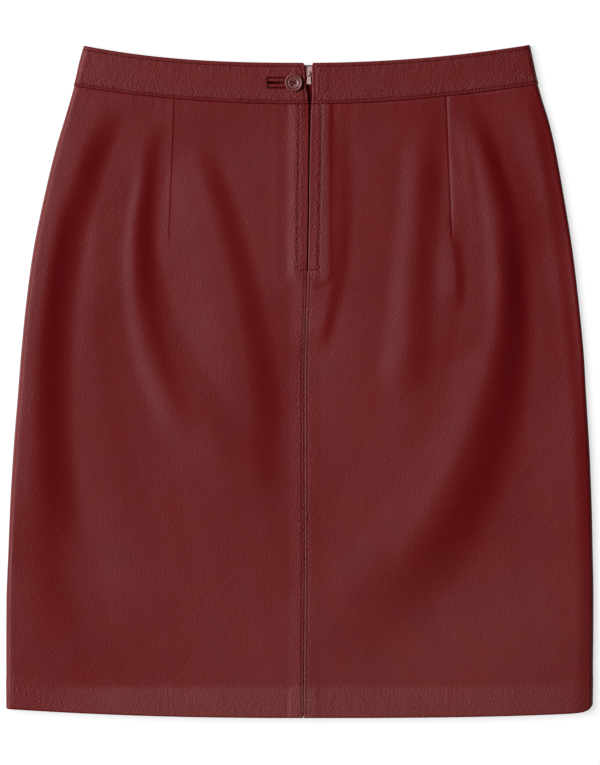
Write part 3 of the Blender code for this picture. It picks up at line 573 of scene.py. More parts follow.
def band_relief(side, x, y, down):
    up = BAND_HEIGHT - down
    edge = side * (x - closing_x(side, y))
    patch = 0.55 + 0.45 * wobble(x, 0.0, 61.0)
    gathers = patch * dent(up - LOW_GATHERS_UP, LOW_GATHERS) * wobble(x, 0.2 * y, 5.2)
    gathers = gathers + dent(down - HIGH_GATHERS_DOWN, HIGH_GATHERS) * wobble(x, 0.4 * y, 7.0)
    out = BAND_PROUD + folded_edges(down) + gathers + dent(edge, BAND_END_GROOVES[side])
    out = out + dent(down - BAND_STITCH, BAND_STITCH_GROOVE) + dent(up - SEAM_STITCH, SEAM_STITCH_GROOVE)
    out = out + dent(edge - BAND_END_STITCH, BAND_STITCH_GROOVE)
    out = out + dent(up - SEAM_WELT_UP, SEAM_WELT) + dent(edge - END_WELT_REACH, END_WELT)
    if side == LEFT:
        out = out + dent(window_distance(x, y), WINDOW_GROOVE)
    return out + 0.07 * wobble(x, y, 29.0)


print(f"the waistband is {BAND_HEIGHT:.1f} mm high")

# %% [markdown]
# ## Where the finish changes, and where sheen is painted
# Glue and pressing leave the leather paler, and stitches gather it into fine creases. Both could be
# painted by hand. Here two marks are worked out from the same distances as the relief, and each panel
# will carry them as attributes for its material to read. The pale mark also holds a painted sheen,
# which makes the lower right of the back paler.

# %% Marks for the finish and the painted sheen
def press_and_sheen_mark(x, y):
    """Where the leather is pressed or glued flat and looks a little paler, and where a painted sheen pales
    the lower right.
    """
    drop = TOP_Y - y
    hem = hem_share(x, drop)
    allowance = allowance_share(abs(x - centre_x(y)), drop, 1.5)
    placket = (1.0 - smooth(0.6, 0.95, print_share(x, drop))) * smooth(49.0, 51.0, drop)
    placket = placket * smooth(16.5, 18.0, x)
    right = np.where(x > centre_x(y), 1.0, 0.0)
    ends = smooth(-255.0, -150.0, x) * (1.0 - 0.4 * smooth(190.0, 250.0, x))
    # painted sheen: paler towards the lower right, standing in for the light's sheen there, not for pressing
    low = (1.0 - hem) * smooth(380.0, 520.0, drop) * smooth(-180.0, 80.0, x)
    band = 0.15 * (1.0 - smooth(-1.0, 0.5, band_end_y(x) - y))
    soft = 0.3 * low + 0.8 * placket + band
    return np.clip(0.7 * hem * ends + (0.12 * right + 0.2 * hem) * allowance + soft, 0.0, 1.0)


def pucker_mark(x, y):
    """Where stitches gather the leather into fine creases."""
    drop, over_seam = TOP_Y - y, y - band_end_y(x)
    zip_lines = sum(dent(x - zip_stitch_x(side, drop), Groove(-1.1, 5.0)) for side in (LEFT, RIGHT))
    zip_lines = zip_lines * (1.0 - smooth(ZIP_END, ZIP_END + 12.0, drop))
    centre = 0.55 * (1.0 - smooth(3.0, 13.0, abs(x - centre_x(y)))) * smooth(ZIP_END, ZIP_END + 5.0, drop)
    waist = dent(over_seam - 5.0, Groove(-0.45, 5.0)) + 0.4 * smooth(0.0, 4.0, over_seam)
    hem = 0.5 * smooth(HEM_LINE_DROP - 4.0, HEM_LINE_DROP + 2.0, drop)
    return np.clip(zip_lines + centre + waist + hem, 0.0, 1.0)


print(f"creases at the waist seam: {float(pucker_mark(100.0, band_end_y(100.0) + 5.0)):.2f} of full strength")


# %% [markdown]
# ## Finishes
# The leather has three things of its own: a fine pebbled grain, faint clouds in its dye, and creases
# where it is stitched. An image of leather could be laid on, but it would stretch and repeat. Noise in
# the object's own space does neither. The effects are groups that several materials share, and the
# shader itself stays in each material.

# %% Node helpers
def add_node(tree, kind, inputs=None, **settings):
    """A shader node, where an input is given a value or the socket that feeds it."""
    made = tree.nodes.new(kind)
    for name, value in settings.items():
        setattr(made, name, value)
    feed(tree, made, inputs or {})
    return made


def maths(tree, operation, *values):
    return add_node(tree, "ShaderNodeMath", dict(enumerate(values)), operation=operation).outputs[0]


def toned(tree, color, tone):
    """A colour made lighter or darker by a factor."""
    return add_node(tree, "ShaderNodeVectorMath", {0: color, "Scale": tone}, operation="SCALE").outputs[0]


def new_group(name, inputs, outputs):
    """An empty node group and its two end nodes. inputs and outputs are names with kinds of socket."""
    tree = bpy.data.node_groups.new(name, "ShaderNodeTree")
    for way, sockets in (("INPUT", inputs), ("OUTPUT", outputs)):
        for label, kind in sockets:
            tree.interface.new_socket(label, in_out=way, socket_type="NodeSocket" + kind)
    return tree, tree.nodes.new("NodeGroupInput"), tree.nodes.new("NodeGroupOutput")


def noise(tree, place, scale, detail=3.0):
    found = add_node(tree, "ShaderNodeTexNoise", {"Vector": place, "Scale": scale, "Detail": detail})
    return found.outputs["Fac"]


# %% Shared effects
PEBBLES = 1150.0                 # cells of the grain in a metre
Layer = namedtuple("Layer", "height_mm scale detail")
FINE = Layer(0.03, 2600.0, 4.0)
ROUGH = Layer(0.16, 480.0, 2.0)
CREASE = Layer(0.9, 620.0, 2.0)
PEBBLE_MM = 0.09


def leather_grain():
    """The height of the grain, in millimetres."""
    tree, given, result = new_group(
        "leather_grain", [("Place", "Vector"), ("Pucker", "Float")], [("Height", "Float")]
    )
    place = given.outputs["Place"]
    cells = add_node(tree, "ShaderNodeTexVoronoi", {"Vector": place, "Scale": PEBBLES}, feature="F1")
    pebble = maths(tree, "MULTIPLY", cells.outputs["Distance"], -PEBBLE_MM)
    fine, rough, crease = (
        maths(tree, "MULTIPLY", noise(tree, place, layer.scale, layer.detail), layer.height_mm)
        for layer in (FINE, ROUGH, CREASE)
    )
    crease = maths(tree, "MULTIPLY", crease, given.outputs["Pucker"])
    height = maths(tree, "ADD", maths(tree, "ADD", pebble, fine), maths(tree, "ADD", rough, crease))
    feed(tree, result, {"Height": height})
    return tree


def leather_dye():
    """The dye's colour, cloudy, paler where pressed and where sheen is painted, and the roughness of the
    finish.
    """
    inputs = [("Place", "Vector"), ("Press_and_sheen", "Float"), ("Color", "Color"), ("Pale", "Color")]
    inputs.append(("Roughness", "Float"))
    tree, given, result = new_group("leather_dye", inputs, [("Color", "Color"), ("Roughness", "Float")])
    place, press_and_sheen, color, pale, roughness = (given.outputs[name] for name, kind in inputs)
    cloud = maths(tree, "MULTIPLY_ADD", noise(tree, place, 24.0), 0.22, 0.89)
    speck = maths(tree, "MULTIPLY_ADD", noise(tree, place, 1400.0, 2.0), 0.10, 0.95)
    # the pale colour mixed in here is partly pressed leather and partly painted sheen
    mixed = add_node(tree, "ShaderNodeMix", {0: press_and_sheen, 6: color, 7: pale}, data_type="RGBA").outputs[2]
    feed(tree, result, {
        "Color": toned(tree, mixed, maths(tree, "MULTIPLY", cloud, speck)),
        "Roughness": maths(tree, "MULTIPLY_ADD", press_and_sheen, 0.07, roughness),
    })
    return tree


def fibre_noise():
    """A fuzzy height for suede and thread, and a mottled tone."""
    tree, given, result = new_group(
        "fibre_noise", [("Place", "Vector"), ("Color", "Color")], [("Height", "Float"), ("Color", "Color")]
    )
    place = given.outputs["Place"]
    tone = maths(tree, "MULTIPLY_ADD", noise(tree, place, 260.0, 5.0), 0.5, 0.75)
    feed(tree, result, {
        "Height": noise(tree, place, 1900.0, 5.0),
        "Color": toned(tree, given.outputs["Color"], tone),
    })
    return tree


GRAIN, DYE, FIBRE = leather_grain(), leather_dye(), fibre_noise()
print("shared effects:", GRAIN.name, DYE.name, FIBRE.name)

# %% Material helpers
def object_place(tree):
    return add_node(tree, "ShaderNodeTexCoord").outputs["Object"]


def add_group(tree, group, inputs):
    return add_node(tree, "ShaderNodeGroup", inputs, node_tree=group).outputs


def add_fibre(tree, color):
    return add_group(tree, FIBRE, {"Place": object_place(tree), "Color": color})


def add_bump(tree, height, height_mm):
    """The normal of a surface whose height is given in steps of height_mm."""
    bump = add_node(tree, "ShaderNodeBump", {"Height": height, "Distance": height_mm * MM, "Strength": 1.0})
    return bump.outputs["Normal"]


# %% Materials
WEAR = 0.06                      # how much rougher the worn places of metal, nylon and horn are
NAPPA_IOR = 1.338                # a matt finish, which mirrors less than lacquer does


def make_nappa(name, color, pale, roughness):
    tree, shader, material = blank(name)
    place = object_place(tree)
    # this mark is pressing and glue, and on the lower right a painted sheen
    press_and_sheen = add_node(tree, "ShaderNodeAttribute", attribute_name="press_and_sheen").outputs["Fac"]
    pucker = add_node(tree, "ShaderNodeAttribute", attribute_name="pucker").outputs["Fac"]
    dye = add_group(tree, DYE, {
        "Place": place, "Press_and_sheen": press_and_sheen, "Color": color, "Pale": pale, "Roughness": roughness,
    })
    grain = add_group(tree, GRAIN, {"Place": place, "Pucker": pucker})
    feed(tree, shader, {"Base Color": dye["Color"], "Roughness": dye["Roughness"], "IOR": NAPPA_IOR})
    feed(tree, shader, {"Normal": add_bump(tree, grain["Height"], 1.0)})
    return material


def make_fibre(name, color, roughness, height_mm, sheen=0.0, gloss=0.5):
    tree, shader, material = blank(name)
    fibre = add_fibre(tree, color)
    feed(tree, shader, {"Base Color": fibre["Color"], "Roughness": roughness, "Sheen Weight": sheen})
    feed(tree, shader, {"Specular IOR Level": gloss, "Normal": add_bump(tree, fibre["Height"], height_mm)})
    return material


def make_weave(name, color):
    """A woven tape: ribs of thread across it, crossed by finer ones along it."""
    tree, shader, material = blank(name)
    uv = add_node(tree, "ShaderNodeUVMap", uv_map="cut").outputs["UV"]
    along = add_node(tree, "ShaderNodeTexWave", {"Vector": uv, "Scale": 420.0}, bands_direction="Y")
    across = add_node(tree, "ShaderNodeTexWave", {"Vector": uv, "Scale": 320.0}, bands_direction="X")
    height = maths(tree, "MULTIPLY", along.outputs["Fac"], across.outputs["Fac"])
    feed(tree, shader, {"Base Color": add_fibre(tree, color)["Color"], "Roughness": 0.85})
    feed(tree, shader, {"Specular IOR Level": 0.15, "Normal": add_bump(tree, height, 0.15)})
    return material


def make_solid(name, color, roughness, metallic=0.0, coat=0.0, gloss=0.5):
    """Metal, nylon or horn: even, but for fine wear in its roughness."""
    tree, shader, material = blank(name)
    worn = maths(tree, "MULTIPLY_ADD", noise(tree, object_place(tree), 700.0, 4.0), WEAR, roughness)
    feed(tree, shader, {"Base Color": add_fibre(tree, color)["Color"], "Roughness": worn})
    feed(tree, shader, {"Metallic": metallic, "Specular IOR Level": gloss})
    feed(tree, shader, {"Coat Weight": coat, "Coat Roughness": 0.2})
    return material


# the second colour is the paler tone of pressed leather, also used for the painted sheen
NAPPA = make_nappa("nappa", (0.1165, 0.0009, 0.0022), (0.138, 0.0215, 0.0195), 0.48)
SUEDE = make_fibre("suede_side", (0.085, 0.012, 0.013), 0.95, 0.12, sheen=0.3)
THREAD = make_fibre("sewing_thread", (0.07, 0.001, 0.002), 0.7, 0.05, gloss=0.2)
# dark flat discs put where the needle holes are: painted shade of the recess, not a colour of the leather
HOLE_SHADE = make_fibre("needle_hole_shade", (0.012, 0.001, 0.001), 0.9, 0.02, gloss=0.1)
TAPE = make_weave("woven_tape", (0.12, 0.007, 0.009))
COIL = make_solid("nylon_coil", (0.16, 0.008, 0.01), 0.32, gloss=0.15)
NICKEL = make_solid("pale_nickel", (0.68, 0.44, 0.435), 0.42, metallic=0.7)
HORN = make_solid("horn", (0.15, 0.035, 0.032), 0.4, coat=0.15)
print("finishes:", [material.name for material in (NAPPA, SUEDE, THREAD, HOLE_SHADE, TAPE, COIL, NICKEL, HORN)])

# %% [markdown]
# ## A wall of leather
# Every cut piece is a wall of leather. A Solidify modifier would give it one even thickness, but a
# waistband thins out at its sides and a hem has two layers. So a flat grid is extruded into a closed
# box, and then each point moves to its place on the surface, on the outer skin or the inner one.

# %% Making objects
def add_object(name, data, node=None, body=CLOTH_BODY):
    """Shows a finished mesh, which stands for a node of the frame and moves with a body."""
    made = show(name, data)
    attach(made, body)
    if node:
        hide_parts(node)
    print(f"{name}: {len(data.polygons)} faces")
    return made


def close_mesh(name, mesh, finishes, angle=50.0):
    """Turns a bmesh into smooth mesh data whose faces look outwards."""
    bmesh.ops.recalc_face_normals(mesh, faces=mesh.faces[:])
    if mesh.calc_volume(signed=True) < 0.0:
        bmesh.ops.reverse_faces(mesh, faces=mesh.faces[:])
    data = mesh_data(name, mesh)
    data.shade_smooth()
    data.set_sharp_from_angle(angle=radians(angle))
    for finish in finishes:
        data.materials.append(finish)
    return data


def add_solid(name, mesh, finishes, node, body=CLOTH_BODY, angle=50.0):
    return add_object(name, close_mesh(name, mesh, finishes, angle), node, body)


def vertices_of(geom):
    return [item for item in geom if isinstance(item, bmesh.types.BMVert)]


# %% Making walls
def wall_mesh(name, columns, rows, place, outer, inner, finishes):
    """place gives points and normals over a grid; outer and inner say how far out its two skins lie."""
    mesh = bmesh.new()
    last_column, last_row = len(columns) - 1, len(rows) - 1
    bmesh.ops.create_grid(mesh, x_segments=last_column, y_segments=last_row, size=0.5)
    skin = bmesh.ops.extrude_face_region(mesh, geom=mesh.faces[:], use_keep_orig=True)["geom"]
    for vertex in vertices_of(skin):
        vertex.co.z = 1.0
    inside = np.array([vertex.co.z > 0.5 for vertex in mesh.verts])
    grid = np.array([vertex.co[:2] for vertex in mesh.verts])
    column = np.array(columns)[np.rint((grid[:, 0] + 0.5) * last_column).astype(int)]
    row = np.array(rows)[np.rint((grid[:, 1] + 0.5) * last_row).astype(int)]
    points, normals = place(column, row)
    out = np.where(inside, inner(column, row, points), outer(column, row, points))
    for vertex, spot in zip(mesh.verts, (points + normals * out[:, None]) * MM):
        vertex.co = spot
    for face in mesh.faces:
        face.material_index = int(len(finishes) > 1 and all(inside[vertex.index] for vertex in face.verts))
    data = close_mesh(name, mesh, finishes)

    spots = np.stack([points[:, 0], points[:, 1]], axis=-1)
    corner = np.zeros(len(data.loops), int)
    data.loops.foreach_get("vertex_index", corner)
    data.uv_layers.new(name="cut").data.foreach_set("uv", (spots[corner] * MM).ravel())
    # the first mark holds pressing and a painted sheen, the second the creases
    for label, mark in (("press_and_sheen", press_and_sheen_mark), ("pucker", pucker_mark)):
        values = np.where(normals[:, 2] > 0.0, mark(points[:, 0], points[:, 1]), 0.0)
        data.attributes.new(label, "FLOAT", "POINT").data.foreach_set("value", values)
    return data


def add_wall(name, node, columns, rows, place, outer, inner, finishes):
    return add_object(name, wall_mesh(name, columns, rows, place, outer, inner, finishes), node)


def stations(*spans):
    """Stations along a line. A span is its start and the step up to the next span's start."""
    found = [spans[0][0]]
    for (start, step), (end, _) in zip(spans, spans[1:]):
        count = max(1, round((end - start) / step))
        found += [blend(start, end, (index + 1) / count) for index in range(count)]
    return found


print("stations 0.6 mm apart at first, then 1.2 mm:", len(stations((0.0, 0.6), (5.4, 1.2), (24.0, 0.0))))


# %% Cutting a mesh out of another
def cut_away(made, cutter):
    """Cuts a mesh out of an object for good, and drops the cutter."""
    tool = show("cutter", cutter)
    modifier = made.modifiers.new("cut", "BOOLEAN")
    modifier.operation, modifier.solver, modifier.object = "DIFFERENCE", "EXACT", tool
    graph = bpy.context.evaluated_depsgraph_get()
    made.data = bpy.data.meshes.new_from_object(made.evaluated_get(graph))
    made.modifiers.remove(modifier)
    bpy.data.objects.remove(tool, do_unlink=True)


# %% [markdown]
# ## The panels
# A panel's columns follow its girth: 0 at the centre back, 1 on the dart, 2 where the side starts to
# roll over and 3 at the side seam. An even grid would blur the small steps, so the columns stand close
# together beside the zip and on the dart, and the rows at the waist seam, the zip's end and the hem.

# %% Places on a panel
FLANK = 100.0                    # a nominal width, from the dart to the roll


def panel_along(side, girth, y):
    """How far from the side seam a girth station of a panel lies, along the leather."""
    crest, dart, closing = (side * (x_of(side, y) - centre_x(y)) for x_of in (side_x, dart_x, closing_x))
    crest = crest - ROLL
    near, far = np.maximum(girth * dart, closing), blend(dart, crest, np.minimum(girth - 1.0, 1.0))
    return ROLL_LENGTH * (1.0 - np.maximum(girth - 2.0, 0.0)) + crest - np.where(girth <= 1.0, near, far)


def band_along(side, girth, y):
    """The same for a waistband, which has no dart."""
    crest, opening = (side * (x_of(side, y) - centre_x(y)) for x_of in (side_x, closing_x))
    crest = crest - ROLL
    reach = blend(opening, crest, np.minimum(girth / 2, 1.0))
    return ROLL_LENGTH * (1.0 - np.maximum(girth - 2.0, 0.0)) + crest - reach


def down_column(upper, lower, share, x_at):
    """y at this share of the way from one line to another, on a column whose x depends on y."""
    ends = []
    for line in (upper, lower):
        y = line(np.zeros_like(share))
        for _ in range(5):
            y = line(x_at(y))
        ends.append(y)
    return blend(ends[0], ends[1], share)


def back_place(side, along_of, upper, lower):
    def place(girth, share):
        y = down_column(upper, lower, share, lambda y: back_point(side, along_of(side, girth, y), y)[..., 0])
        return surface_frame(back_point, side, along_of(side, girth, y), y, 1)

    return place


def roll_weight(girth):
    return 1.0 - smooth(2.0, 3.0, abs(girth))


def layers(girth, share, points):
    """The inner face of a panel: one layer of leather, and a second one in the turned hem."""
    turned = (HEM_LINE_DROP - BAND_LINE.drop) / (LENGTH - BAND_LINE.drop)
    return -LEATHER - np.where(share >= turned, LEATHER * roll_weight(girth), 0.0)


# %% Back panels
ROLL_GIRTHS = stations((2.0, 0.1), (3.0, 0.0))[1:]
NEAR_DART = DART_REACH - 5.0
PANEL_COLUMNS = [reach / DART_REACH for reach in
                 stations((0.0, 0.6), (5.4, 1.2), (24.0, 2.7), (NEAR_DART, 0.5), (DART_REACH, 0.0))]
PANEL_COLUMNS += [1.0 + reach / FLANK for reach in stations((0.0, 0.5), (4.0, 2.7), (FLANK, 0.0))][1:]
PANEL_COLUMNS += ROLL_GIRTHS
PANEL_DROPS = stations((BAND_LINE.drop, 0.7), (54.0, 2.4), (188.0, 0.8), (196.0, 2.4), (543.0, 0.8),
                       (552.0, 2.4), (571.0, 0.5), (LENGTH, 0.0))
PANEL_ROWS = [(drop - BAND_LINE.drop) / (LENGTH - BAND_LINE.drop) for drop in PANEL_DROPS]


def make_back_panel(name, node, side):
    def outer(girth, share, points):
        return panel_relief(side, points[:, 0], points[:, 1], blend(BAND_LINE.drop, LENGTH, share))

    place = back_place(side, panel_along, panel_top_y, hem_y)
    return add_wall(name, node, PANEL_COLUMNS, PANEL_ROWS, place, outer, layers, [NAPPA, SUEDE])


left_back = make_back_panel("left_back_leather", "back_left_panel", LEFT)
right_back = make_back_panel("right_back_leather", "back_right_panel", RIGHT)

# %% [markdown]
# ## The front
# The front lies face down on the table. Only its suede side shows, through the waist and the hem. Its
# waist dips below the back's, as it does on a body. It could be left out, but then the table would show
# through the two openings. It is one plain wall that rolls up to the side seams at both sides.

# %% Places on the front
def front_dip(x):
    return FRONT_DIP * np.maximum(1.0 - ((x - WAIST_LINE.middle) / WAIST_LINE.half_left) ** 2, 0.0)


def front_place(upper, lower):
    """Girth runs from -3 at the left side seam to 3 at the right one."""
    def along_of(side, girth, y):
        width = side_x(RIGHT, y) - side_x(LEFT, y) - 2 * ROLL
        rolled = ROLL_LENGTH * np.minimum(3.0 - abs(girth), 1.0)
        return rolled + width * np.maximum(2.0 - abs(girth), 0.0) / 4

    def place(girth, share):
        found = []
        for side in (LEFT, RIGHT):
            def x_at(y):
                return front_point(side, along_of(side, girth, y), y)[..., 0]

            y = down_column(upper, lower, share, x_at)
            found.append(surface_frame(front_point, side, along_of(side, girth, y), y, -1))
        on_left = (girth < 0.0)[:, None]
        return tuple(np.where(on_left, one, other) for one, other in zip(*found))

    return place


# %% Front panel and front waistband
FRONT_COLUMNS = [-girth for girth in reversed(ROLL_GIRTHS)] + stations((-2.0, 0.04), (2.0, 0.0)) + ROLL_GIRTHS
FRONT_ROWS = stations((0.0, 0.009), (0.95, 0.0035), (1.0, 0.0))
BAND_DOWNS = stations((0.0, 0.35), (2.1, 0.6), (5.4, 1.5), (BAND_HEIGHT - 11.0, 0.8),
                      (BAND_HEIGHT - 2.1, 0.35), (BAND_HEIGHT, 0.0))
BAND_ROWS = [down / BAND_HEIGHT for down in BAND_DOWNS]


def front_outer(girth, share, points):
    return 0.0 * girth


def front_band_outer(girth, share, points):
    """The band lies flat on the table, so its edges are only half as round and it stands out at its sides."""
    return BAND_PROUD * (1.0 - roll_weight(girth)) + 0.5 * folded_edges(share * BAND_HEIGHT)


def front_band_inner(girth, share, points):
    return -blend(LEATHER, BAND_PROUD + BAND_UNDER, roll_weight(girth))


front_panel_place = front_place(lambda x: panel_top_y(x) - front_dip(x), lambda x: hem_y(x) + FRONT_HEM_LIFT)
front_band_place = front_place(lambda x: waist_y(x) - front_dip(x), lambda x: band_end_y(x) - front_dip(x))
front = add_wall("front_leather", "front_panel", FRONT_COLUMNS, FRONT_ROWS,
                 front_panel_place, front_outer, layers, [NAPPA, SUEDE])
front_band = add_wall("front_band_leather", "waistband_front", FRONT_COLUMNS, BAND_ROWS,
                      front_band_place, front_band_outer, front_band_inner, [NAPPA])

# %% [markdown]
# ## The waistband
# The band is cut in a curve, folded at both edges and topstitched close to them. Its left end carries a
# bound buttonhole: a window with two folded lips. A slit painted on would stay flat, so the window is
# cut through the band with a Boolean, and the lips are two small walls inside it.

# %% Back waistband
BAND_WIDTH = 185.0               # a nominal width, from the opening to the roll
BAND_COLUMNS = [2 * reach / BAND_WIDTH for reach in stations((0.0, 0.45), (4.5, 1.3), (BAND_WIDTH, 0.0))]
BAND_COLUMNS += ROLL_GIRTHS


def make_back_band(name, node, side):
    def outer(girth, share, points):
        return band_relief(side, points[:, 0], points[:, 1], share * BAND_HEIGHT)

    def inner(girth, share, points):
        return -blend(LEATHER, BAND_UNDER, roll_weight(girth))

    place = back_place(side, band_along, waist_y, band_end_y)
    return add_wall(name, node, BAND_COLUMNS, BAND_ROWS, place, outer, inner, [NAPPA])


def box_mesh(low, high):
    mesh = bmesh.new()
    centre = Matrix.Translation((Vector(low) + Vector(high)) / 2 * MM)
    size = Matrix.Diagonal((*((Vector(high) - Vector(low)) * MM), 1.0))
    bmesh.ops.create_cube(mesh, size=1.0, matrix=centre @ size)
    return mesh_data("box", mesh)


def height_at(x, y):
    return float(back_height(np.array([x]), np.array([y]))[0])


CUT_HALF = 5.0                   # how far the cutter of the window reaches up and down
button_face = height_at(BUTTON_X, BUTTON_Y)
left_band = make_back_band("left_band_leather", "waistband_back_left", LEFT)
right_band = make_back_band("right_band_leather", "waistband_back_right", RIGHT)
cut_away(left_band, box_mesh(
    (WINDOW_LEFT, BUTTON_Y - WINDOW_HEIGHT / 2, button_face - CUT_HALF),
    (WINDOW_RIGHT, BUTTON_Y + WINDOW_HEIGHT / 2, button_face + CUT_HALF),
))

# %% Lips of the buttonhole
SLIT_HALF = 0.8
LIP_PROUD = 0.4


def make_lip(name, node, direction):
    outer_y = BUTTON_Y + direction * (WINDOW_HEIGHT / 2 - GAP)
    slit_y = BUTTON_Y + direction * SLIT_HALF

    def outer(x, y, points):
        crown = 1.0 - (2.0 * (y - outer_y) / (slit_y - outer_y) - 1.0) ** 4
        return LIP_PROUD * crown - 0.5 * (1.0 - crown) + 0.08 * crown * wobble(x, 0.3 * y, 4.0)

    columns = stations((WINDOW_LEFT + GAP, 0.6), (WINDOW_RIGHT - GAP, 0.0))
    rows = [blend(outer_y, slit_y, share) for share in stations((0.0, 0.07), (1.0, 0.0))]
    return add_wall(name, node, columns, rows, back_frame_at, outer, lip_inner, [NAPPA])


def lip_inner(x, y, points):
    return -BAND_UNDER + 0.0 * x


lips = [
    make_lip("upper_lip_leather", "buttonhole_lip_upper", 1),
    make_lip("lower_lip_leather", "buttonhole_lip_lower", -1),
]

# %% Underlap
SLIDER_HEIGHT = 2.3
SLIDER_DEPTH = BAND_UNDER + GAP
TAB_LEFT, TAB_RIGHT = -18.3, 53.0
TAB_DEEP, TAB_SHALLOW = SLIDER_DEPTH + SLIDER_HEIGHT + GAP, BAND_UNDER + GAP
TAB_STEP_START, TAB_STEP_END = 24.0, 36.0
TAB_THICKNESS = 1.6
TAB_INSET = 2.0
TAB_PITCH = 1.6


def tab_outer(x, y, points):
    """The underlap dives below the slider at its left end."""
    return -blend(TAB_DEEP, TAB_SHALLOW, smooth(TAB_STEP_START, TAB_STEP_END, x))


def tab_inner(x, y, points):
    return tab_outer(x, y, points) - TAB_THICKNESS


tab_high, tab_low = (float(line(np.zeros(1))[0]) for line in (waist_y, band_end_y))
tab_columns = stations((TAB_LEFT, TAB_PITCH), (TAB_RIGHT, 0.0))
tab_rows = stations((tab_high - TAB_INSET, -TAB_PITCH), (tab_low + TAB_INSET, 0.0))
underlap = add_wall("underlap_leather", "button_tab", tab_columns, tab_rows,
                    back_frame_at, tab_outer, tab_inner, [NAPPA])

# %% [markdown]
# ## The button
# A turned horn button: a raised rim, a groove, and a dished middle with four holes. It is turned here
# as on a lathe, by spinning its profile round its axis, and the holes are drilled with a Boolean. It is
# sewn through them to the underlap, with a shank of thread that passes through the buttonhole.

# %% Button
ButtonRing = namedtuple("ButtonRing", "radius height")
BUTTON_RINGS = (
    ButtonRing(0.0, 0.0),
    ButtonRing(6.4, 0.0),
    ButtonRing(7.1, 0.4),
    ButtonRing(7.5, 1.2),
    ButtonRing(7.55, 1.9),
    ButtonRing(7.35, 2.5),
    ButtonRing(7.0, 2.85),
    ButtonRing(6.6, 2.9),
    ButtonRing(6.25, 2.7),
    ButtonRing(5.95, 2.2),
    ButtonRing(5.6, 1.75),
    ButtonRing(5.2, 1.7),
    ButtonRing(4.9, 2.1),
    ButtonRing(4.6, 2.35),
    ButtonRing(4.1, 2.3),
    ButtonRing(3.2, 1.9),
    ButtonRing(2.2, 1.65),
    ButtonRing(0.0, 1.6),
)
BUTTON_SIDES = 72
BUTTON_THICKNESS = 2.9
HOLE_RADIUS = 0.65
HOLE_TURN = Matrix.Rotation(0.25, 4, "Z")
HOLE_SPOTS = [HOLE_TURN @ Vector((x * 1.7, y * 1.25, 0.0)) for x, y in ((-1, -1), (1, -1), (1, 1), (-1, 1))]
button_base = Vector((BUTTON_X, BUTTON_Y, button_face + BAND_PROUD + GAP))

mesh = bmesh.new()
ring = [mesh.verts.new((button_base + Vector((row.radius, 0.0, row.height))) * MM) for row in BUTTON_RINGS]
profile = [mesh.edges.new(pair) for pair in zip(ring, ring[1:])]
bmesh.ops.spin(mesh, geom=ring + profile, cent=button_base * MM, axis=(0, 0, 1), angle=2 * pi,
               steps=BUTTON_SIDES, use_merge=True)
bmesh.ops.remove_doubles(mesh, verts=mesh.verts[:], dist=0.00001)
button = add_solid("horn_button", mesh, [HORN], "button", angle=60.0)
drill = bmesh.new()
for spot in HOLE_SPOTS:
    bmesh.ops.create_cone(
        drill, cap_ends=True, segments=20, radius1=HOLE_RADIUS * MM, radius2=HOLE_RADIUS * MM,
        depth=4 * BUTTON_THICKNESS * MM, matrix=Matrix.Translation((button_base + spot) * MM),
    )
cut_away(button, close_mesh("drill", drill, [HORN]))

# %% Thread of the button
def add_bead(mesh, centre, along, up, half_sizes, sides=8):
    """A rounded piece of thread or tooth: half_sizes are its length, width and height."""
    along, up = Vector(along).normalized(), Vector(up).normalized()
    axes = Matrix((along, up.cross(along).normalized(), up)).transposed().to_4x4()
    turn = Matrix.Translation(Vector(centre) * MM) @ axes @ Matrix.Diagonal((*(Vector(half_sizes) * MM), 1.0))
    bmesh.ops.create_uvsphere(mesh, u_segments=sides, v_segments=5, radius=1.0, matrix=turn)


UP = Vector((0.0, 0.0, 1.0))
STRAND_PITCH, STRAND_HEIGHT, STRAND_STEP = 0.34, 1.85, 0.12   # the second pair crosses over the first
SHANK_PITCH = 0.55
mesh = bmesh.new()
for first, last in ((0, 2), (1, 3)):
    across = HOLE_SPOTS[last] - HOLE_SPOTS[first]
    for strand in (-STRAND_PITCH, 0.0, STRAND_PITCH):
        aside = UP.cross(across).normalized() * strand
        middle = button_base + aside + UP * (STRAND_HEIGHT + STRAND_STEP * first)
        add_bead(mesh, middle, across, UP, (across.length / 2 + 0.25, 0.21, 0.32))
shank_low, shank_high = button_face - TAB_DEEP + GAP, button_base.z
for strand in range(-2, 3):
    middle = Vector((BUTTON_X + SHANK_PITCH * strand, BUTTON_Y, (shank_low + shank_high) / 2))
    add_bead(mesh, middle, UP, Vector((0.0, 1.0, 0.0)), ((shank_high - shank_low) / 2, 0.4, 0.5))
add_solid("button_strands", mesh, [THREAD], "button_thread")

# %% [markdown]
# ## The zip
# The zip is closed. Its coil shows only as a dark line between the two edges of the leather. The slider
# has run up under the waistband and its pull hangs down between the ends of the band. A real coil is one
# spiral of nylon. Only the turns of it that face outwards can be seen, so each is a rounded bead.

# %% Tapes
TAPE_THICKNESS = 0.5
TAPE_INNER, TAPE_OUTER, TAPE_END_Y = 2.8, 11.0, 76.3
TAPE_HIGH, TAPE_LOW = LEATHER + GAP, 3.0
ZIP_DIVE_START_Y, ZIP_DIVE_END_Y = 222.0, 250.0
SLIDER_TOP_Y, SLIDER_END_Y, SLIDER_X = 268.4, 258.9, 7.6


def zip_depth(high, low, y):
    """The zip dives deeper where it passes under the waistband."""
    return blend(high, low, smooth(ZIP_DIVE_START_Y, ZIP_DIVE_END_Y, y))


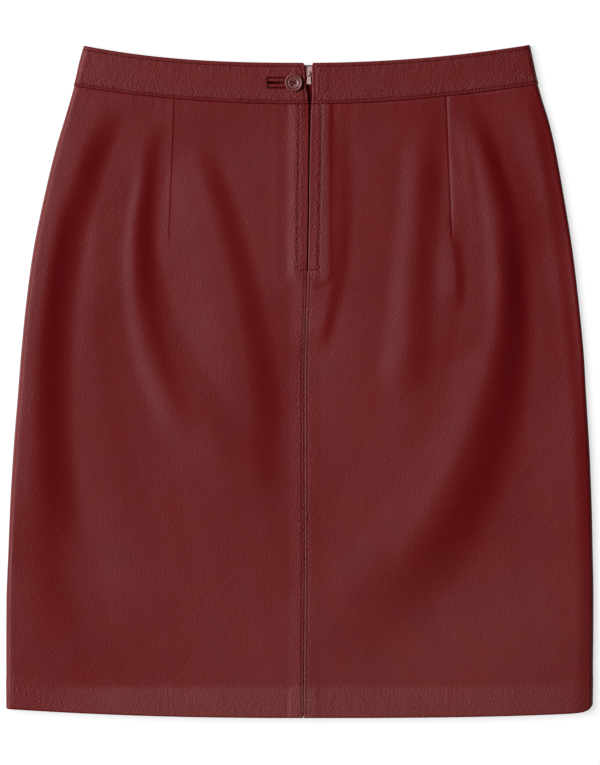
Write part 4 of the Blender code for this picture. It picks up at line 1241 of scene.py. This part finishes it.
def make_tape(name, node, side):
    def place(reach, y):
        return back_frame_at(centre_x(y) + side * reach, y)

    def outer(reach, y, points):
        return -zip_depth(TAPE_HIGH, TAPE_LOW, y)

    def inner(reach, y, points):
        return outer(reach, y, points) - TAPE_THICKNESS

    columns = stations((TAPE_INNER, 1.4), (TAPE_OUTER, 0.0))
    rows = stations((TAPE_END_Y, 2.4), (SLIDER_TOP_Y, 0.0))
    return add_wall(name, node, columns, rows, place, outer, inner, [TAPE])


tapes = [
    make_tape("left_tape_weave", "zip_tape_left", LEFT),
    make_tape("right_tape_weave", "zip_tape_right", RIGHT),
]

# %% Coil
COIL_HIGH, COIL_LOW, COIL_END_Y = LEATHER + GAP, 2.6, 89.9
TOOTH_PITCH = 1.45
TOOTH_REACH = 0.8                # from the middle of the zip to the middle of a tooth
TOOTH_SLANT = 0.12
TOOTH_SIZES = (1.35, 0.5, 0.62)

mesh = bmesh.new()
tooth_count = int((SLIDER_END_Y - GAP - COIL_END_Y) / TOOTH_PITCH)
for side in (LEFT, RIGHT):
    tooth_y = COIL_END_Y + TOOTH_PITCH * (np.arange(tooth_count) + 0.25 + 0.25 * side)
    spots, normals = back_frame_at(centre_x(tooth_y) + side * TOOTH_REACH, tooth_y)
    spots = spots - normals * (zip_depth(COIL_HIGH, COIL_LOW, tooth_y) + TOOTH_SIZES[2])[:, None]
    for spot, normal in zip(spots, normals):
        add_bead(mesh, spot, (1.0, TOOTH_SLANT * side, 0.0), normal, TOOTH_SIZES, sides=10)
add_solid("coil_teeth", mesh, [COIL], "zip_coil")

# %% [markdown]
# ## The slider and its pull
# The slider is two small plates that a web joins, with an arch on top, the bail, in which the pull turns.
# Each is a plate: an outline that is extruded, with its sharp edges rounded, because real castings have
# no knife edges and it is the rounding that catches the light.

# %% Plates of metal
def soften(mesh, rims, width):
    """Rounds sharp edges over this width."""
    bmesh.ops.bevel(mesh, geom=rims, offset=width * MM, offset_type="OFFSET", segments=3, profile=0.6,
                    affect="EDGES", material=-1)


def thicken(mesh, faces, pull):
    """Extrudes faces by a vector in millimetres, and gives the new vertices."""
    grown = vertices_of(bmesh.ops.extrude_face_region(mesh, geom=faces, use_keep_orig=True)["geom"])
    bmesh.ops.translate(mesh, vec=Vector(pull) * MM, verts=grown)
    return grown


# %% Slider
PIVOT_Y, PIVOT_DEPTH = 262.0, 1.35
SLIDER_PLATE = 0.6
SliderRow = namedtuple("SliderRow", "half_width y")
SLIDER_OUTLINE = (
    SliderRow(2.5, SLIDER_END_Y),
    SliderRow(2.9, 260.4),
    SliderRow(3.1, 262.5),
    SliderRow(3.5, 265.2),
    SliderRow(3.6, 267.2),
    SliderRow(3.0, SLIDER_TOP_Y),
    SliderRow(1.2, 268.1),
)
WEB_OUTLINE = ((-1.3, 268.0), (-1.1, 265.0), (0.0, 262.6), (1.1, 265.0), (1.3, 268.0))
BAIL_INNER, BAIL_OUTER, BAIL_WIDTH, BAIL_STEPS = 1.6, 2.4, 1.2, 18
pivot = Vector((SLIDER_X, PIVOT_Y, height_at(SLIDER_X, PIVOT_Y) - PIVOT_DEPTH))
slider_top = height_at(SLIDER_X, PIVOT_Y) - SLIDER_DEPTH


def add_plate(mesh, outline, pull, bevel):
    """A closed plate: the outline's points are in millimetres, and pull is its thickness as a vector."""
    face = mesh.faces.new([mesh.verts.new(Vector(point) * MM) for point in outline])
    corners = set(face.verts) | set(thicken(mesh, [face], pull))
    rims = [edge for edge in mesh.edges if corners.issuperset(edge.verts) and edge.calc_face_angle(0.0) > 0.8]
    soften(mesh, rims, bevel)


def level_outline(spots, z):
    """Spots of an outline, given from the middle of the slider, at one height."""
    return [(SLIDER_X + x, y, z) for x, y in spots]


mesh = bmesh.new()
slider_edge = [(row.half_width, row.y) for row in SLIDER_OUTLINE]
slider_edge += [(-row.half_width, row.y) for row in reversed(SLIDER_OUTLINE)]
for z in (slider_top - SLIDER_PLATE, slider_top - SLIDER_HEIGHT):
    add_plate(mesh, level_outline(slider_edge, z), (0.0, 0.0, SLIDER_PLATE), 0.16)
web = level_outline(WEB_OUTLINE, slider_top - SLIDER_HEIGHT + 0.1)
add_plate(mesh, web, (0.0, 0.0, SLIDER_HEIGHT - 0.2), 0.1)
foot = PIVOT_DEPTH - SLIDER_DEPTH - SLIDER_PLATE / 2
turns = [pi * step / BAIL_STEPS for step in range(BAIL_STEPS + 1)]
arch = [(BAIL_OUTER * cos(turn), BAIL_OUTER * sin(turn)) for turn in turns]
arch += [(-BAIL_OUTER, foot), (-BAIL_INNER, foot)]
arch += [(BAIL_INNER * cos(turn), BAIL_INNER * sin(turn)) for turn in reversed(turns)]
arch += [(BAIL_INNER, foot), (BAIL_OUTER, foot)]
bail = [(pivot.x - BAIL_WIDTH / 2, pivot.y + y, pivot.z + z) for y, z in arch]
add_plate(mesh, bail, (BAIL_WIDTH, 0.0, 0.0), 0.14)
add_solid("slider_metal", mesh, [NICKEL], "zip_slider", angle=40.0)

# %% Pull
PullRow = namedtuple("PullRow", "reach half_width")
PULL_ROWS = (
    PullRow(-0.43, 1.5),
    PullRow(0.43, 1.75),
    PullRow(3.0, 1.6),
    PullRow(4.4, 1.55),
    PullRow(6.2, 1.8),
    PullRow(8.4, 2.1),
    PullRow(9.0, 1.75),
)
PULL_THICKNESS = 0.8
PULL_HOLE_HALF = 1.0
PULL_STEPS = stations((-0.43, 0.43), (0.43, 0.64), (3.0, 0.5), (8.0, 0.25), (9.0, 0.0))
pull_width = np.interp(PULL_STEPS, [row.reach for row in PULL_ROWS], [row.half_width for row in PULL_ROWS])

mesh = bmesh.new()
last_step = len(PULL_STEPS) - 1
bmesh.ops.create_grid(mesh, x_segments=3, y_segments=last_step, size=0.5)
for vertex in mesh.verts:
    step, column = last_step - round((vertex.co.y + 0.5) * last_step), round((vertex.co.x + 0.5) * 3)
    half = pull_width[step] if column in (0, 3) else PULL_HOLE_HALF
    vertex.co = (pivot + Vector((half if column > 1 else -half, -PULL_STEPS[step], -PULL_THICKNESS / 2))) * MM
hole = [face for face in mesh.faces if abs(face.calc_center_median().x / MM - pivot.x) < 0.5
        and PULL_STEPS[1] < pivot.y - face.calc_center_median().y / MM < 3.0]
bmesh.ops.delete(mesh, geom=hole, context="FACES")
thicken(mesh, mesh.faces[:], (0.0, 0.0, PULL_THICKNESS))
rims = [edge for edge in mesh.edges if len(edge.link_faces) == 2 and edge.calc_face_angle(0.0) > 1.2]
soften(mesh, rims, 0.18)
add_solid("pull_metal", mesh, [NICKEL], "zip_pull", PULL_BODY, 40.0)

# %% [markdown]
# ## The stitching
# Each stitch is a short rounded bead of thread, sunk into its line. At each of its ends a flat dark
# disc paints the shade in the needle hole. A dashed line in the material would do from far away, but it
# has no height. The beads follow the same surface as the leather under them.

# %% A line of stitches
THREAD_HALF = 0.28
# the flat discs of painted shade in the needle holes
HOLE_SIZES = (0.5, 0.5, 0.1)
STITCH_PITCH, STITCH_HALF = 3.2, 1.1
STITCH_LIFT = 0.17               # from the bottom of the groove to the middle of the thread


def add_line(mesh, points, normals, lift, pitch=STITCH_PITCH, half=STITCH_HALF):
    """Stitches, and flat dark discs of painted shade for the needle holes between them, at an even pitch
    along a line raised by lift.
    """
    line = points + normals * lift[:, None]
    run = np.concatenate([[0.0], np.cumsum(np.linalg.norm(np.diff(line, axis=0), axis=-1))])
    count = max(1, int(run[-1] / pitch))
    for spot in (np.arange(2 * count - 1) / 2 + 0.5) * run[-1] / count:
        is_hole = round(spot * count / run[-1] * 2) % 2 == 0
        centre, ahead = (np.array([np.interp(spot + step, run, line[:, axis]) for axis in range(3)])
                         for step in (0.0, 0.3))
        up = np.array([np.interp(spot, run, normals[:, axis]) for axis in range(3)])
        if np.linalg.norm(ahead - centre) > 0.01:
            sizes = HOLE_SIZES if is_hole else (half, THREAD_HALF, THREAD_HALF)
            first = len(mesh.faces)
            add_bead(mesh, centre, ahead - centre, up, sizes, sides=6)
            mesh.faces.ensure_lookup_table()
            for face in mesh.faces[first:]:
                face.material_index = int(is_hole)


def panel_line(side, x, y):
    points, normals = back_frame_at(x, y)
    return points, normals, panel_relief(side, x, y, TOP_Y - y) + STITCH_LIFT


def band_line(side, girth, share):
    points, normals = back_place(side, band_along, waist_y, band_end_y)(girth, share)
    return points, normals, band_relief(side, points[:, 0], points[:, 1], share * BAND_HEIGHT) + STITCH_LIFT


def add_stitches(name, mesh):
    return add_solid(name, mesh, [THREAD, HOLE_SHADE], None)


# %% Stitches of the waistband
END_GIRTH = 2 * BAND_END_STITCH / BAND_WIDTH
EDGE_SHARE, SEAM_SHARE = BAND_STITCH / BAND_HEIGHT, 1.0 - SEAM_STITCH / BAND_HEIGHT
mesh = bmesh.new()
for side in (LEFT, RIGHT):
    girth = np.linspace(END_GIRTH, 2.95, 500)
    for share in (EDGE_SHARE, SEAM_SHARE):
        add_line(mesh, *band_line(side, girth, np.full(500, share)))
    share = np.linspace(EDGE_SHARE, SEAM_SHARE, 60)
    add_line(mesh, *band_line(side, np.full(60, END_GIRTH), share))
waist_stitches = add_stitches("waist_stitches", mesh)

# %% Stitches beside the zip and the centre seam
BAR_MIDDLE, BAR_OVERLAP = 6.3, 0.9                 # the line across the end of the zip
mesh = bmesh.new()
for side in (LEFT, RIGHT):
    y = TOP_Y - np.linspace(BAND_LINE.drop + 1.5, ZIP_END, 300)
    add_line(mesh, *panel_line(side, zip_stitch_x(side, TOP_Y - y), y))
    bar = sorted((float(zip_stitch_x(side, ZIP_END)), BAR_MIDDLE + side * BAR_OVERLAP))
    bar_line = panel_line(side, np.linspace(*bar, 20), np.full(20, TOP_Y - ZIP_END))
    add_line(mesh, *bar_line, pitch=2.1, half=1.0)
    y = TOP_Y - np.linspace(ZIP_END + 2.0, LENGTH - 2.0, 600)
    add_line(mesh, *panel_line(side, centre_x(y) + side * STITCH_REACH, y))
centre_stitches = add_stitches("centre_stitches", mesh)

# %% Stitches round the buttonhole
HOLE_MARGIN = 0.75               # from the window to its stitches
HOLE_STITCH_END_X = -12.5        # they end under the button
mesh = bmesh.new()
hole_low, hole_high = (BUTTON_Y + way * (WINDOW_HEIGHT / 2 + HOLE_MARGIN) for way in (-1, 1))
hole_left = WINDOW_LEFT - HOLE_MARGIN
for start, end in (
    ((hole_left, hole_low), (HOLE_STITCH_END_X, hole_low)),
    ((hole_left, hole_high), (HOLE_STITCH_END_X, hole_high)),
    ((hole_left, hole_low), (hole_left, hole_high)),
):
    x, y = np.linspace(start[0], end[0], 40), np.linspace(start[1], end[1], 40)
    points, normals = back_frame_at(x, y)
    lift = band_relief(LEFT, x, y, float(tab_high) - y) + STITCH_LIFT
    add_line(mesh, points, normals, lift, pitch=1.9, half=0.8)
hole_stitches = add_stitches("buttonhole_stitches", mesh)

# %% [markdown]
# ## The pieces on the table
# All the pieces of leather and tape lie on the table or on one another.

# %% Done
print("all pieces are in the scene")
